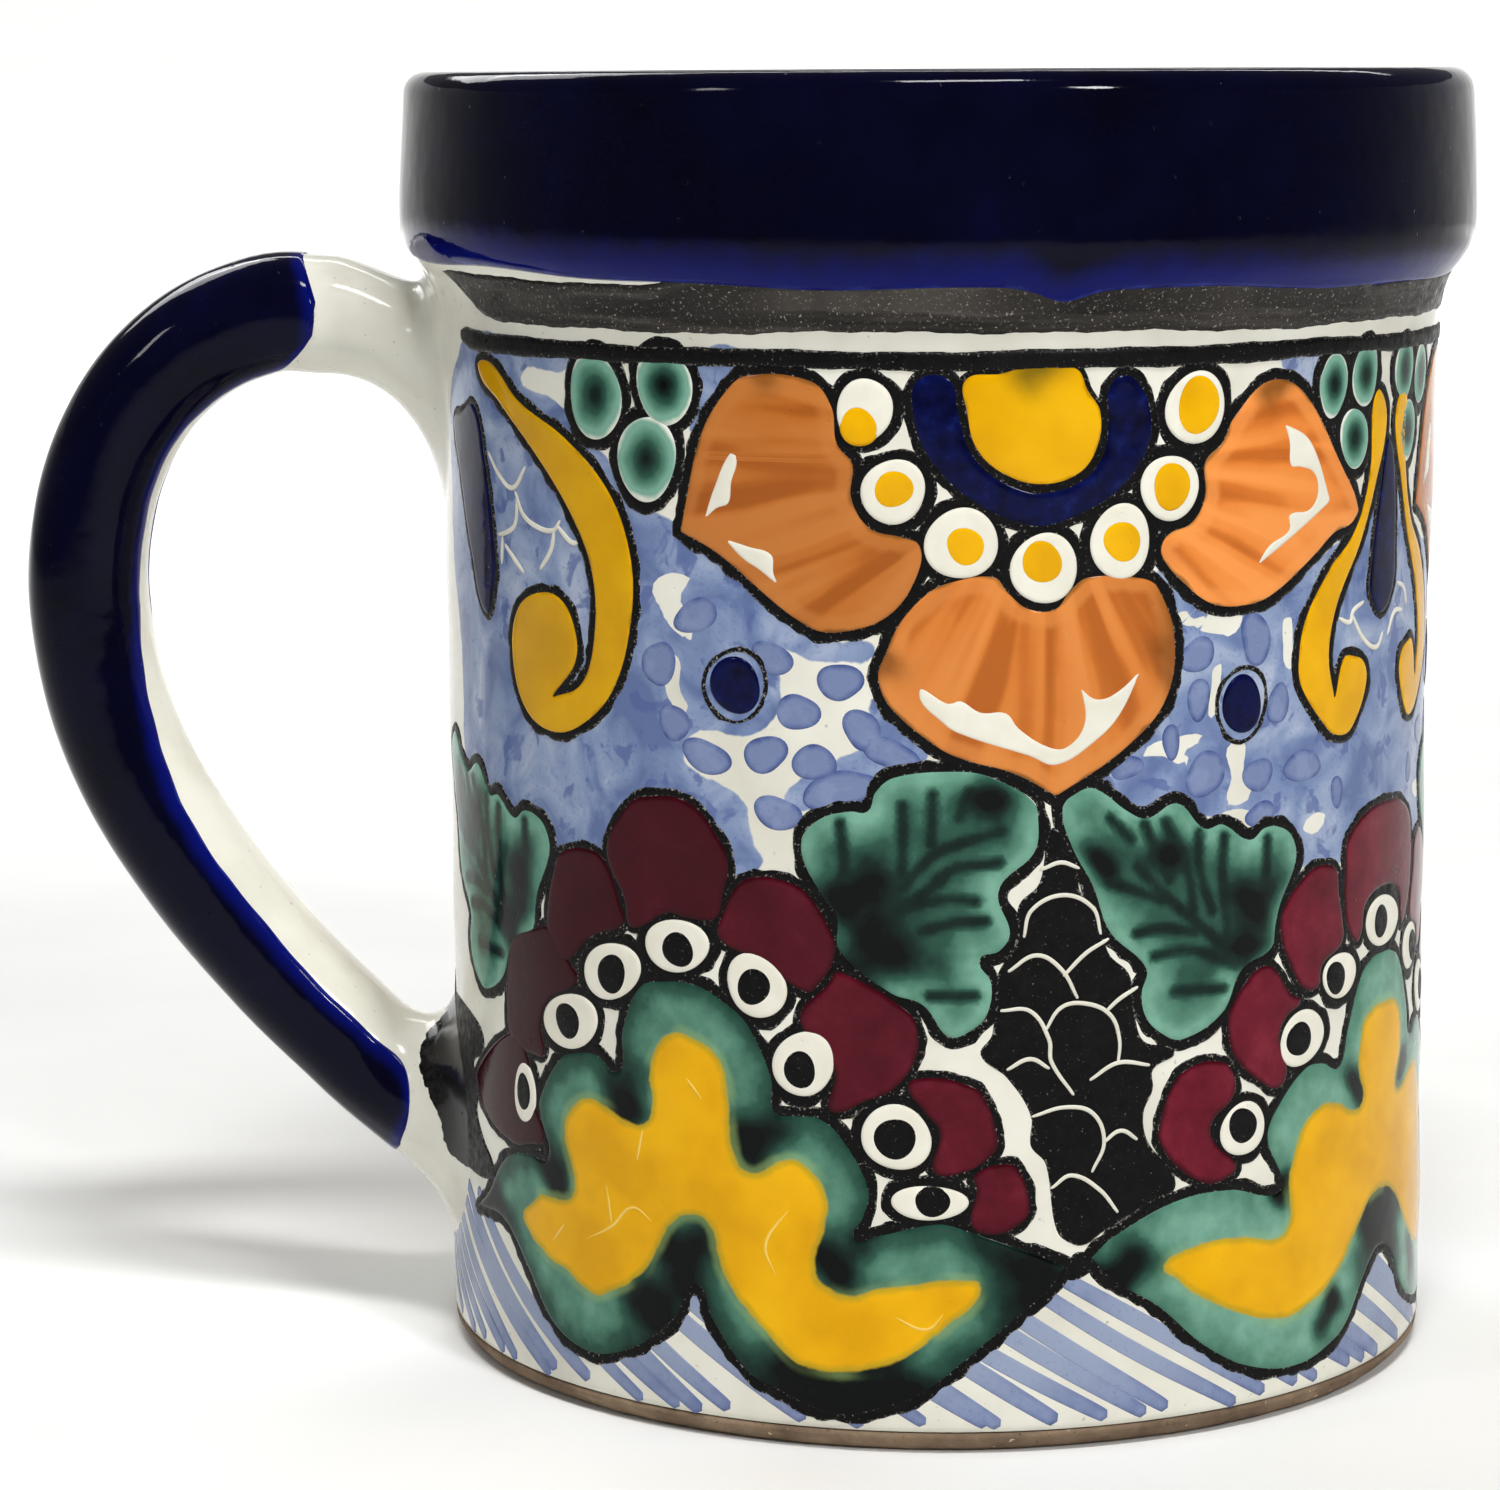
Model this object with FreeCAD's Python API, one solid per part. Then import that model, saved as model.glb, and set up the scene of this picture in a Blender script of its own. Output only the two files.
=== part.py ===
"""A hand-painted majolica mug: a straight-sided clay cup with a thick rim collar, a trimmed foot
ring, and a pulled loop handle luted on at two joints, all under separate coats of coloured glaze, with
a raised painted pattern of flowers and leaves on the wall.

Row frame, millimetres: +Z is up, the origin is the centre of the foot ring's resting face, and
the handle points along -X. Every piece is a solid of its own that meets its neighbours face to
face. Sizes with "OVER GLAZE" in their comment include the glaze coat; the clay is smaller by it.
"""

import FreeCAD
import Part

import math
import os

# Overall size
HEIGHT = 108.0  # foot to lip, over glaze
GLAZE = 0.4  # thickness of every glaze coat
PIGMENT = 0.12  # thickness of the dry black bands on top of the glaze

# Cup wall, over glaze
WALL_TOP_R = 42.5  # just under the collar
WALL_WAIST_R = 41.8  # the wall draws in slightly at mid height
WALL_BASE_R = 42.2
WAIST_Z = 46.0
MOUTH_R = 37.6  # the straight inside wall
FLOOR_TOP_Z = 7.5  # inside floor
INSIDE_CORNER_R = 7.0  # wall to floor, inside
LIP_SPLIT_R = 41.4  # the collar's coil sits outside this radius, the thrown wall inside it

# Rim collar, over glaze
COLLAR_R = 45.3
COLLAR_LOW_Z = 93.6  # the collar's full width starts here
COLLAR_ROOT_Z = 90.2  # its concave underside meets the wall here
LIP_OUTER_ROUND = 2.6
LIP_INNER_ROUND = 2.2

# Foot
FOOT_R = 41.0  # outer radius of the resting ring at the table
FOOT_INNER_R = 34.0
FOOT_H = 1.7  # height of the bare clay ring
FOOT_BEVEL = 0.6
RECESS_Z = 2.6  # underside of the cup inside the foot ring

# Glaze borders
BLUE_INSIDE_Z = 102.5  # the cobalt rim glaze runs over the lip and down inside to here
BLUE_OUTSIDE_Z = 92.0  # and down the outside to here
WHITE_LOW_Z = FOOT_H  # the white glaze stops short of the table

# Black bands round the wall: (low edge, high edge)
UPPER_BAND_Z = (88.6, 91.6)
LOWER_BAND_Z = (85.7, 87.5)
BAND_GAP_DEG = 48.0  # both bands stop short of the handle by half of this on each side

# Handle: a loop of oval section, over glaze
HANDLE_WIDTH = 12.0  # along Y
HANDLE_THICK = 10.0  # in the plane of the loop
STRIPE_BACK = -1.8  # the cobalt covers what lies outside this offset from the centre line
HANDLE_PATH = [  # centre line in the XZ plane, top joint to bottom joint
    (-50.0, 87.6),
    (-57.5, 87.5),
    (-64.8, 84.1),
    (-70.2, 77.6),
    (-73.1, 68.3),
    (-73.0, 59.2),
    (-70.2, 49.6),
    (-64.6, 39.6),
    (-57.6, 31.0),
    (-49.5, 22.7),
]
UPPER_CUT_X = -54.0  # the handle proper ends and the joint's flare begins
LOWER_CUT_X = -52.4

# Joints: oval sections in planes of constant X, each (x, centre z, half height, half width)
UPPER_JOINT = [
    (-54.0, 87.95, 5.0, 6.0),
    (-50.0, 86.9, 5.3, 6.6),
    (-46.5, 85.2, 7.8, 8.6),
    (-43.4, 82.4, 10.4, 11.4),
    (-39.0, 81.6, 11.4, 13.4),
]
LOWER_JOINT = [
    (-52.4, 25.7, 7.1, 6.0),
    (-48.5, 21.4, 7.2, 6.4),
    (-45.2, 18.9, 8.0, 9.6),
    (-42.8, 17.8, 9.8, 13.4),
    (-39.0, 17.4, 10.6, 16.6),
]

# Raised pattern, laid out on the unrolled wall: (distance round the wall, height)
UNROLL_R = 42.0  # a distance round the wall is this radius times the angle from -Y, towards +X
RELIEF = 0.12  # how far the coloured glazes stand above the white
ORANGE_CENTRES = (8.5, 80.0, 150.0)  # upper row of flowers
ORANGE_PETALS = [  # inner end and tip from the flower's centre, and width
    ((-9.5, 79.0), (-29.5, 73.0), 20.0),
    ((0.5, 69.0), (0.5, 52.0), 21.0),
    ((9.5, 79.0), (31.0, 73.0), 18.5),
]
HEART_TOP_Z = 83.5  # each orange flower hangs from a cobalt cup round a yellow half disc
HEART_R = 5.2
CUP_R = 9.0
WINE_CENTRES = (-20.0, 45.0, 111.0, 177.0)  # lower row of flowers
WINE_PETAL_TIPS = [  # from the flower's centre
    (-28.0, 24.0),
    (-22.0, 36.0),
    (-13.0, 48.0),
    (-2.0, 51.5),
    (9.5, 47.0),
    (17.0, 37.0),
    (25.0, 28.0),
    (30.0, 19.0),
]
WINE_ROOT_Z = 20.0
WINE_PETAL_W = 10.0
WINE_PETAL_SHARE = 0.36  # a petal's length as a share of the way from the flower's root
LEAF_OFFSET = 31.5  # each pair of leaves stands between two wine flowers
LEAVES = [  # foot and tip from the pair's middle, and width
    ((-5.0, 38.0), (-17.0, 52.0), 9.0),
    ((7.0, 38.0), (18.0, 51.5), 9.0),
]
CONE = ((0.5, 18.0), (-1.5, 49.5), 13.5)  # the scaly cone between the leaves

AXIS = FreeCAD.Vector(0, 0, 1)
ORIGIN = FreeCAD.Vector(0, 0, 0)
FAR = 200.0  # larger than the mug, for cutting blocks


def at(r, z):
    """A point of a turned profile, at radius r and height z."""
    return FreeCAD.Vector(r, 0, z)


def line(a, b):
    return Part.LineSegment(at(*a), at(*b)).toShape()


def arc(a, through, b):
    return Part.Arc(at(*a), at(*through), at(*b)).toShape()


def quarter(centre, radius, start_deg, end_deg):
    """An arc about centre, given as a three-point arc from start to end."""
    points = []
    for turn in (start_deg, (start_deg + end_deg) / 2, end_deg):
        a = math.radians(turn)
        points.append((centre[0] + radius * math.cos(a), centre[1] + radius * math.sin(a)))
    return arc(*points)


def turned(edges, degrees=360.0):
    """The solid made by turning a closed profile about the mug's axis."""
    return Part.Face(Part.Wire(edges)).revolve(ORIGIN, AXIS, degrees)


def ring(r0, r1, z0, z1):
    """A plain ring or disc between two radii and two heights."""
    tall = z1 - z0
    outer = Part.makeCylinder(r1, tall, FreeCAD.Vector(0, 0, z0))
    return outer.cut(Part.makeCylinder(r0, tall, FreeCAD.Vector(0, 0, z0))) if r0 > 0 else outer


def slab(x0, x1):
    """Everything between two planes of constant X."""
    return Part.makeBox(x1 - x0, 2 * FAR, 2 * FAR, FreeCAD.Vector(x0, -FAR, -FAR))


def vessel(skin):
    """The whole turned vessel above its foot, with skin added to every clay surface.

    The outline runs up the outside wall, out under the collar, over the lip, down the inside and
    across the floor. skin is 0 for bare clay and GLAZE for the glazed surface.
    """
    out = GLAZE - skin  # how far each outside surface sits inside its over-glaze size
    top, low = HEIGHT - out, WHITE_LOW_Z
    base, waist, upper = WALL_BASE_R - out, WALL_WAIST_R - out, WALL_TOP_R - out
    collar, mouth, floor = COLLAR_R - out, MOUTH_R + out, FLOOR_TOP_Z - out
    under = (upper + 0.32 * (collar - upper), COLLAR_ROOT_Z + 0.62 * (COLLAR_LOW_Z - COLLAR_ROOT_Z))
    outer_c = (collar - LIP_OUTER_ROUND, top - LIP_OUTER_ROUND)
    inner_c = (mouth + LIP_INNER_ROUND, top - LIP_INNER_ROUND)
    corner = INSIDE_CORNER_R
    return turned([
        line((0, low), (base, low)),
        arc((base, low), (waist, WAIST_Z), (upper, COLLAR_ROOT_Z)),
        arc((upper, COLLAR_ROOT_Z), under, (collar, COLLAR_LOW_Z)),
        line((collar, COLLAR_LOW_Z), (collar, outer_c[1])),
        quarter(outer_c, LIP_OUTER_ROUND, 0, 90),
        line((outer_c[0], top), (inner_c[0], top)),
        quarter(inner_c, LIP_INNER_ROUND, 90, 180),
        line((mouth, inner_c[1]), (mouth, floor + corner)),
        quarter((mouth - corner, floor + corner), corner, 0, -90),
        line((mouth - corner, floor), (0, floor)),
        line((0, floor), (0, low)),
    ])


def foot():
    """The bare clay foot ring, bevelled at the table."""
    top_r = WALL_BASE_R - GLAZE
    return turned([
        line((FOOT_INNER_R + FOOT_BEVEL, 0), (FOOT_R - FOOT_BEVEL / 2, 0)),
        line((FOOT_R - FOOT_BEVEL / 2, 0), (top_r, FOOT_BEVEL)),
        line((top_r, FOOT_BEVEL), (top_r, FOOT_H)),
        line((top_r, FOOT_H), (FOOT_INNER_R, FOOT_H)),
        line((FOOT_INNER_R, FOOT_H), (FOOT_INNER_R, FOOT_BEVEL)),
        line((FOOT_INNER_R, FOOT_BEVEL), (FOOT_INNER_R + FOOT_BEVEL, 0)),
    ])


def oval_at_x(x, z, half_height, half_width):
    """An oval wire in the plane of constant x, starting at its +Y side and turning about +X.

    An ellipse is drawn from its longer axis, so a tall oval starts a quarter turn earlier; every
    seam then lies at +Y and the loft doesn't twist.
    """
    centre = FreeCAD.Vector(x, 0, z)
    across, up = FreeCAD.Vector(0, half_width, 0), FreeCAD.Vector(0, 0, half_height)
    if half_width > half_height:
        return Part.Wire(Part.Ellipse(centre + across, centre + up, centre).toShape())
    ellipse = Part.Ellipse(centre + up, centre - across, centre)
    return Part.Wire(ellipse.toShape(-math.pi / 2, 3 * math.pi / 2))


def joint(sections, skin):
    """The flared end that the handle was pressed and smoothed onto the wall with."""
    out = GLAZE - skin
    wires = [oval_at_x(x, z, tall - out, wide - out) for x, z, tall, wide in sections]
    return Part.makeLoft(wires, True)


def handle_path():
    spline = Part.BSplineCurve()
    spline.interpolate([FreeCAD.Vector(x, 0, z) for x, z in HANDLE_PATH])
    return spline


def along_handle(section):
    """Sweeps a closed wire, standing at the handle's upper end, along the whole loop."""
    return Part.Wire(handle_path().toShape()).makePipeShell([section], True, True)


def handle_frame():
    """The upper end of the centre line: its point, its direction, and the outward normal."""
    path = handle_path()
    start = path.value(path.FirstParameter)
    ahead = path.tangent(path.FirstParameter)[0]
    return start, ahead, ahead.cross(FreeCAD.Vector(0, 1, 0))


def handle_oval(skin):
    """The handle's swept oval between its two joints."""
    out = GLAZE - skin
    start, ahead, outward = handle_frame()
    wide, thick = HANDLE_WIDTH / 2 - out, HANDLE_THICK / 2 - out
    oval = Part.Ellipse(start + FreeCAD.Vector(0, wide, 0), start + outward * thick, start)
    swept = along_handle(Part.Wire(oval.toShape()))
    return swept.cut(slab(UPPER_CUT_X, FAR).common(above(HEIGHT / 2))).cut(
        slab(LOWER_CUT_X, FAR).common(below(HEIGHT / 2))
    )


def above(z):
    return Part.makeBox(2 * FAR, 2 * FAR, FAR, FreeCAD.Vector(-FAR, -FAR, z))


def below(z):
    return Part.makeBox(2 * FAR, 2 * FAR, FAR, FreeCAD.Vector(-FAR, -FAR, z - FAR))


def stripe_zone():
    """The space outside the stripe's two edges, all along the handle."""
    start, _, outward = handle_frame()
    side, reach = FreeCAD.Vector(0, HANDLE_WIDTH, 0), outward * HANDLE_THICK
    back = start + outward * STRIPE_BACK
    corners = [back - side, back + side, back + side + reach, back - side + reach]
    return along_handle(Part.makePolygon(corners + corners[:1]))


def band(heights):
    """A dry black band on the white glaze, open beside the handle."""
    low, high = heights
    edge = WALL_TOP_R
    strip = ring(edge - GLAZE, edge + PIGMENT, low, high)
    keep = Part.makeCylinder(FAR / 2, HEIGHT, ORIGIN, AXIS, 360 - BAND_GAP_DEG)
    keep.rotate(ORIGIN, AXIS, 180 + BAND_GAP_DEG / 2)
    return strip.common(keep)


def wall_prism(wires, u):
    """Wires drawn on the unrolled wall round distance u, pushed straight out through the wall."""
    prism = Part.Face(wires).extrude(FreeCAD.Vector(0, -FAR / 2, 0))
    prism.rotate(ORIGIN, AXIS, math.degrees(u / UNROLL_R))
    return prism


def petal(root, tip, width, centre):
    """An egg-shaped petal from root to tip, both given round the wall from centre."""
    u, z = (root[0] + tip[0]) / 2, (root[1] + tip[1]) / 2
    du, dz = tip[0] - root[0], tip[1] - root[1]
    length = math.hypot(du, dz)
    along = FreeCAD.Vector(du, 0, dz) / length
    across = FreeCAD.Vector(-dz, 0, du) / length
    outline = [(-0.5, 0.0), (-0.36, 0.36), (0.08, 0.5), (0.5, 0.0), (0.08, -0.5), (-0.36, -0.36)]
    curve = Part.BSplineCurve()
    middle = FreeCAD.Vector(0, 0, z)
    curve.interpolate(
        [middle + along * (a * length) + across * (b * width) for a, b in outline], PeriodicFlag=True
    )
    return wall_prism([Part.Wire(curve.toShape())], centre + u)


def wine_petal(tip, centre):
    """A petal that covers the outer end of the way from a wine flower's root to the tip."""
    inner = (tip[0] * (1 - WINE_PETAL_SHARE), tip[1] - (tip[1] - WINE_ROOT_Z) * WINE_PETAL_SHARE)
    return petal(inner, tip, WINE_PETAL_W, centre)


def half_disc(radius):
    """A half disc that hangs below the top of a flower's heart."""
    left = FreeCAD.Vector(-radius, 0, HEART_TOP_Z)
    low = FreeCAD.Vector(0, 0, HEART_TOP_Z - radius)
    right = FreeCAD.Vector(radius, 0, HEART_TOP_Z)
    return Part.Wire([Part.Arc(left, low, right).toShape(), Part.LineSegment(right, left).toShape()])


def raised(prisms, skin):
    """The part of a thin skin over the wall that lies inside the prisms."""
    return Part.makeCompound([prism.common(skin) for prism in prisms])


def save(name, shape):
    solids = Part.makeCompound(shape.Solids)
    solids.exportStep(f"parts/{name}.step")
    print(f"{name:22s} {len(shape.Solids)} solid(s) {shape.Volume / 1000:8.2f} cm3 valid {shape.isValid()}")


def main():
    os.makedirs("parts", exist_ok=True)
    bare, glazed = vessel(0), vessel(GLAZE)
    filled = bare.fuse(ring(0, LIP_SPLIT_R, WHITE_LOW_Z, HEIGHT - GLAZE))

    # Clay
    outside_split = ring(LIP_SPLIT_R, FAR / 2, COLLAR_ROOT_Z, HEIGHT)
    collar = bare.common(outside_split)
    cup = bare.cut(outside_split).cut(ring(0, FOOT_INNER_R, FOOT_H, RECESS_Z))
    upper_joint = joint(UPPER_JOINT, 0).cut(filled)
    lower_joint = joint(LOWER_JOINT, 0).cut(filled)
    core = handle_oval(0)
    save("clay_cup", cup)
    save("rim_collar", collar)
    save("foot_ring", foot())
    save("handle", core)
    save("upper_handle_joint", upper_joint)
    save("lower_handle_joint", lower_joint)

    # Glaze on the joints and the handle
    upper_flare, lower_flare = joint(UPPER_JOINT, GLAZE), joint(LOWER_JOINT, GLAZE)
    save("upper_joint_glaze", upper_flare.cut(upper_joint).cut(filled))
    save("lower_joint_glaze", lower_flare.cut(lower_joint).cut(filled))
    sleeve, zone = handle_oval(GLAZE).cut(core), stripe_zone()
    save("handle_blue_stripe", sleeve.common(zone))
    save("handle_white_glaze", sleeve.cut(zone))

    # Glaze on the vessel
    coat = glazed.cut(bare).cut(upper_flare).cut(lower_flare)
    blue_zone = ring(MOUTH_R + 2 * GLAZE, FAR / 2, BLUE_OUTSIDE_Z, HEIGHT).fuse(
        ring(0, MOUTH_R + 2 * GLAZE, BLUE_INSIDE_Z, HEIGHT)
    )
    inside_zone = ring(0, MOUTH_R + 2 * GLAZE, FLOOR_TOP_Z - GLAZE, HEIGHT)
    save("rim_blue_glaze", coat.common(blue_zone))
    save("inside_white_glaze", coat.common(inside_zone).cut(blue_zone))
    save("outside_white_glaze", coat.cut(inside_zone).cut(blue_zone))
    save("underside_glaze", ring(0, FOOT_INNER_R, RECESS_Z - GLAZE, RECESS_Z))

    # Dry black bands
    for name, heights in (("upper_black_band", UPPER_BAND_Z), ("lower_black_band", LOWER_BAND_Z)):
        save(name, band(heights).cut(glazed).cut(upper_flare))

    # Raised pattern on the wall
    inner = ring(0, LIP_SPLIT_R - GLAZE, 0, 2 * HEIGHT)
    skin = vessel(GLAZE + RELIEF).cut(glazed).cut(inner).cut(upper_flare).cut(lower_flare)
    for number, u in enumerate(ORANGE_CENTRES, 1):
        save(f"orange_flower_{number}", raised([petal(*p, u) for p in ORANGE_PETALS], skin))
        disc = wall_prism([half_disc(HEART_R)], u)
        save(f"yellow_heart_{number}", raised([disc], skin))
        save(f"cobalt_cup_{number}", raised([wall_prism([half_disc(CUP_R)], u).cut(disc)], skin))
    cones, leaves, flowers = [], [], []
    for u in WINE_CENTRES:
        middle = u + LEAF_OFFSET
        cones.append([petal(*CONE, middle)])
        leaves.append([petal(*leaf, middle) for leaf in LEAVES])
        flowers.append([wine_petal(tip, u) for tip in WINE_PETAL_TIPS])
    on_top = Part.makeCompound(sum(cones, []))
    for number, (cone, pair, flower) in enumerate(zip(cones, leaves, flowers), 1):
        save(f"scaly_cone_{number}", raised(cone, skin))
        save(f"leaf_pair_{number}", raised(pair, skin.cut(on_top)))
        save(f"wine_flower_{number}", raised(flower, skin.cut(on_top)))


main()
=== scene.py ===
"""The looks of a hand-painted majolica mug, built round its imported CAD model.

The vessel, the handle and the foot are fresh meshes in the CAD's sizes. The painted pattern is laid
out on the unrolled wall, in millimetres: u is the distance round the wall from the side that faces
-Y, towards +X, and z is the height. Every glaze is a thin raised solid wrapped onto the wall.
"""

import math
import random

import bmesh
import bpy
import numpy as np
from mathutils import Matrix, Vector
from mathutils.geometry import delaunay_2d_cdt


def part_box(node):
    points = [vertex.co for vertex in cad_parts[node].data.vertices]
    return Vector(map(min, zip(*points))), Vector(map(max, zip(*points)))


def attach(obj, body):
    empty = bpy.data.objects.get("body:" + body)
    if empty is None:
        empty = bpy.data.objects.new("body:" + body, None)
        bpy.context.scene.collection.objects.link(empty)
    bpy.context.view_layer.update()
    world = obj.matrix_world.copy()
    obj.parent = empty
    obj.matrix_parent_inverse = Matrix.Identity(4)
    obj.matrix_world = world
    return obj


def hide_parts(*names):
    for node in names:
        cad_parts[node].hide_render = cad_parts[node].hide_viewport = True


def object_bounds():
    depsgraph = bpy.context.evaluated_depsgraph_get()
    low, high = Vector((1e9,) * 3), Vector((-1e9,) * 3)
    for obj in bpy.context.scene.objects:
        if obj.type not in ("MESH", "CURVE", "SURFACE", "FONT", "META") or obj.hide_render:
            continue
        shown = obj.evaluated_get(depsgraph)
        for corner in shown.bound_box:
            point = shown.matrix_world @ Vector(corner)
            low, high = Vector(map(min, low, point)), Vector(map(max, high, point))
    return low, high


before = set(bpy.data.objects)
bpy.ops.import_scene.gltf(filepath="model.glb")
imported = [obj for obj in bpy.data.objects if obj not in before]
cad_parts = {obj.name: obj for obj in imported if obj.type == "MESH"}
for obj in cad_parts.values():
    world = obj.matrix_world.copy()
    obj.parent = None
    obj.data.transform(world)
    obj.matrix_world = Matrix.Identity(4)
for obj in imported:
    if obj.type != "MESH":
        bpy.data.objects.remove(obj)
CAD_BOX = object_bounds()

# ---------------------------------------------------------------- sizes, in millimetres

MM = 0.001


def span(node, axis):
    """The lowest and highest coordinate of a CAD node along one axis, in millimetres."""
    low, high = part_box(node)
    return low[axis] / MM, high[axis] / MM


FOOT_Z, LIP_Z = CAD_BOX[0][2] / MM, CAD_BOX[1][2] / MM
RIM_R = span("rim_blue_glaze", 0)[1]
MOUTH_R = span("inside_white_glaze", 0)[1] - 0.4  # the straight inside wall
WALL_LOW_Z = span("outside_white_glaze", 2)[0]
FLOOR_Z = span("inside_white_glaze", 2)[0] + 0.4
HANDLE_MID_Y = sum(span("handle", 1)) / 2

UNROLL_R = 42.0
ROUND = 2 * math.pi * UNROLL_R  # the unrolled wall's length
HANDLE_U = -UNROLL_R * math.pi / 2

WALL_BASE_R, WALL_WAIST_R, WALL_TOP_R = 42.2, 41.8, 42.5
WAIST_Z, COLLAR_START_Z, COLLAR_ROOT_Z = 46.0, 87.0, 90.2
LIP_OUTER_ROUND, LIP_INNER_ROUND = 1.7, 2.2
# (radius, height) round the collar's soft lower corner and up its face, under the lip
COLLAR = [
    (42.75, 89.8), (43.4, 91.4), (44.3, 92.6), (45.05, 93.9), (RIM_R, 95.8), (RIM_R - 0.12, 100.0),
    (RIM_R - 0.4, LIP_Z - LIP_OUTER_ROUND),
]
INSIDE_CORNER_R = 7.0
AXIS_R = 0.02  # how close to the axis the floor and the underside run before a last face closes them
RECESS_R, RECESS_Z = 34.0, 2.6
COBALT_OUTSIDE_Z, COBALT_INSIDE_Z = 92.1, 103.0  # where the rim's cobalt stops, on average

# How far each coat stands above the white glaze
WASH, BLACK, FILL, EYE, IRIS = 0.03, 0.075, 0.13, 0.17, 0.20
RIM_COAT, STRIPE_COAT, COBALT_ROUNDING = 0.16, 0.18, 0.7
STEP = 0.35  # the usual distance between two points along an outline
BURIED = 0.10  # every coat's underside sits this deep inside what it lies on

rng = random.Random(7)


# ---------------------------------------------------------------- outlines on the unrolled wall


def full_turn(count):
    """Angles evenly spaced round a circle, without a last one that meets the first."""
    return np.linspace(0, 2 * math.pi, count, endpoint=False)


def waves(x, *terms):
    """A sum of sines of x, each term given as (size, frequency, phase)."""
    return sum(size * np.sin(frequency * x + phase) for size, frequency, phase in terms)


def distances(line):
    """How far along a line each of its points is."""
    return np.concatenate([[0], np.cumsum(np.linalg.norm(np.diff(line, axis=0), axis=1))])


def smooth(points, closed=True, step=STEP):
    """A smooth curve through the given points. A point with a third value is a sharp corner."""
    p = np.array([q[:2] for q in points], float)
    sharp = [len(q) > 2 for q in points]
    n = len(p)
    out = []
    for i in range(n if closed else n - 1):
        j = (i + 1) % n
        chord = p[j] - p[i]
        size = np.hypot(*chord)
        ends = []
        for k in (i, j):
            if sharp[k] or (not closed and k in (0, n - 1)):
                ends.append(chord)
            else:
                lean = p[(k + 1) % n] - p[k - 1]
                ends.append(lean / np.hypot(*lean) * size * 1.08)
        t = np.arange(0, 1, 1 / max(2, math.ceil(size / step)))[:, None]
        out.append(
            p[i] * (2 * t**3 - 3 * t**2 + 1)
            + ends[0] * (t**3 - 2 * t**2 + t)
            + p[j] * (3 * t**2 - 2 * t**3)
            + ends[1] * (t**3 - t**2)
        )
    if not closed:
        out.append(p[-1:])
    return np.vstack(out)


def shifted(points, du=0.0, mirror=None):
    """Points moved round the wall by du, after mirroring about u = mirror if given."""
    if mirror is not None:
        points = [(2 * mirror - q[0], *q[1:]) for q in reversed(points)]
    return [(q[0] + du, *q[1:]) for q in points]


def placed(place, du, mirror=None):
    """An oval's (u, z, half width, half height, tilt), moved and mirrored like the points of shifted."""
    u, z, ru, rz, *tilt = place
    if mirror is not None:
        u, tilt = 2 * mirror - u, [-t for t in tilt]
    return (u + du, z, ru, rz, *tilt)


def oval(u, z, ru, rz, tilt=0.0, wobble=0.04):
    """A hand-drawn oval, slightly out of true."""
    t = full_turn(max(12, round(2 * math.pi * max(ru, rz) / STEP)))
    a, b = rng.uniform(0, 6.3), rng.uniform(0, 6.3)
    k = 1 + wobble * np.sin(2 * t + a) + 0.6 * wobble * np.sin(3 * t + b)
    x, y = ru * k * np.cos(t), rz * k * np.sin(t)
    c, s = math.cos(math.radians(tilt)), math.sin(math.radians(tilt))
    return np.stack([u + x * c - y * s, z + x * s + y * c], 1)


def wavy(n, length, seed, scale=2.5):
    """Smooth noise of about unit size at n places along a closed line of the given length."""
    noise = random.Random(seed)
    s = full_turn(n)
    out = np.zeros(n)
    for k in range(1, 7):
        turns = max(1, round(k * length / scale / 3.5))
        out += math.cos(noise.uniform(0, 1.5)) * np.sin(turns * s + noise.uniform(0, 6.3)) / k**0.6
    return out / 1.6


def normals(loop, closed=True):
    """Unit normals on the left of a sampled line's direction."""
    ahead = np.roll(loop, -1, 0) - np.roll(loop, 1, 0)
    if not closed:
        ahead[0], ahead[-1] = loop[1] - loop[0], loop[-1] - loop[-2]
    ahead /= np.maximum(np.hypot(*ahead.T), 1e-9)[:, None]
    return np.stack([-ahead[:, 1], ahead[:, 0]], 1)


def outward(loop):
    """Unit normals pointing out of a closed loop."""
    x, y = loop.T
    area = np.sum(x * np.roll(y, -1) - np.roll(x, -1) * y)
    return -normals(loop) * np.sign(area)


def stroke_outline(points, width, taper):
    """The closed outline of one brush stroke: full width in the middle, and taper times it at the ends."""
    line = smooth(points, closed=False, step=0.3)
    t = np.linspace(0, 1, len(line))
    half = width / 2 * (taper + (1 - taper) * np.sqrt(np.clip(np.sin(math.pi * t), 0, 1)))
    side = normals(line, closed=False) * half[:, None]
    head, tail = line[-1] + (line[-1] - line[-2]), line[0] + (line[0] - line[1])
    return np.vstack([line + side, head[None], (line - side)[::-1], tail[None]])


def edge_distance(points, loop):
    """Distance from each point to the nearest edge of a closed loop."""
    a = loop
    ab = np.roll(loop, -1, 0) - a
    size = np.maximum((ab**2).sum(1), 1e-12)
    out = np.empty(len(points))
    for k in range(0, len(points), 2000):
        ap = points[k : k + 2000, None] - a[None]
        t = np.clip((ap * ab).sum(2) / size, 0, 1)
        out[k : k + 2000] = np.sqrt(((ap - t[..., None] * ab) ** 2).sum(2).min(1))
    return out


def is_inside(points, loop):
    """Whether each point is inside a closed loop."""
    x, y = points[:, :1], points[:, 1:]
    x0, y0 = loop.T
    x1, y1 = np.roll(loop, -1, 0).T
    rise = np.where(y1 == y0, 1e-12, y1 - y0)
    crosses = ((y0 > y) != (y1 > y)) & (x < (x1 - x0) * (y - y0) / rise + x0)
    return crosses.sum(1) % 2 == 1


# ---------------------------------------------------------------- the wall's true shape


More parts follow.
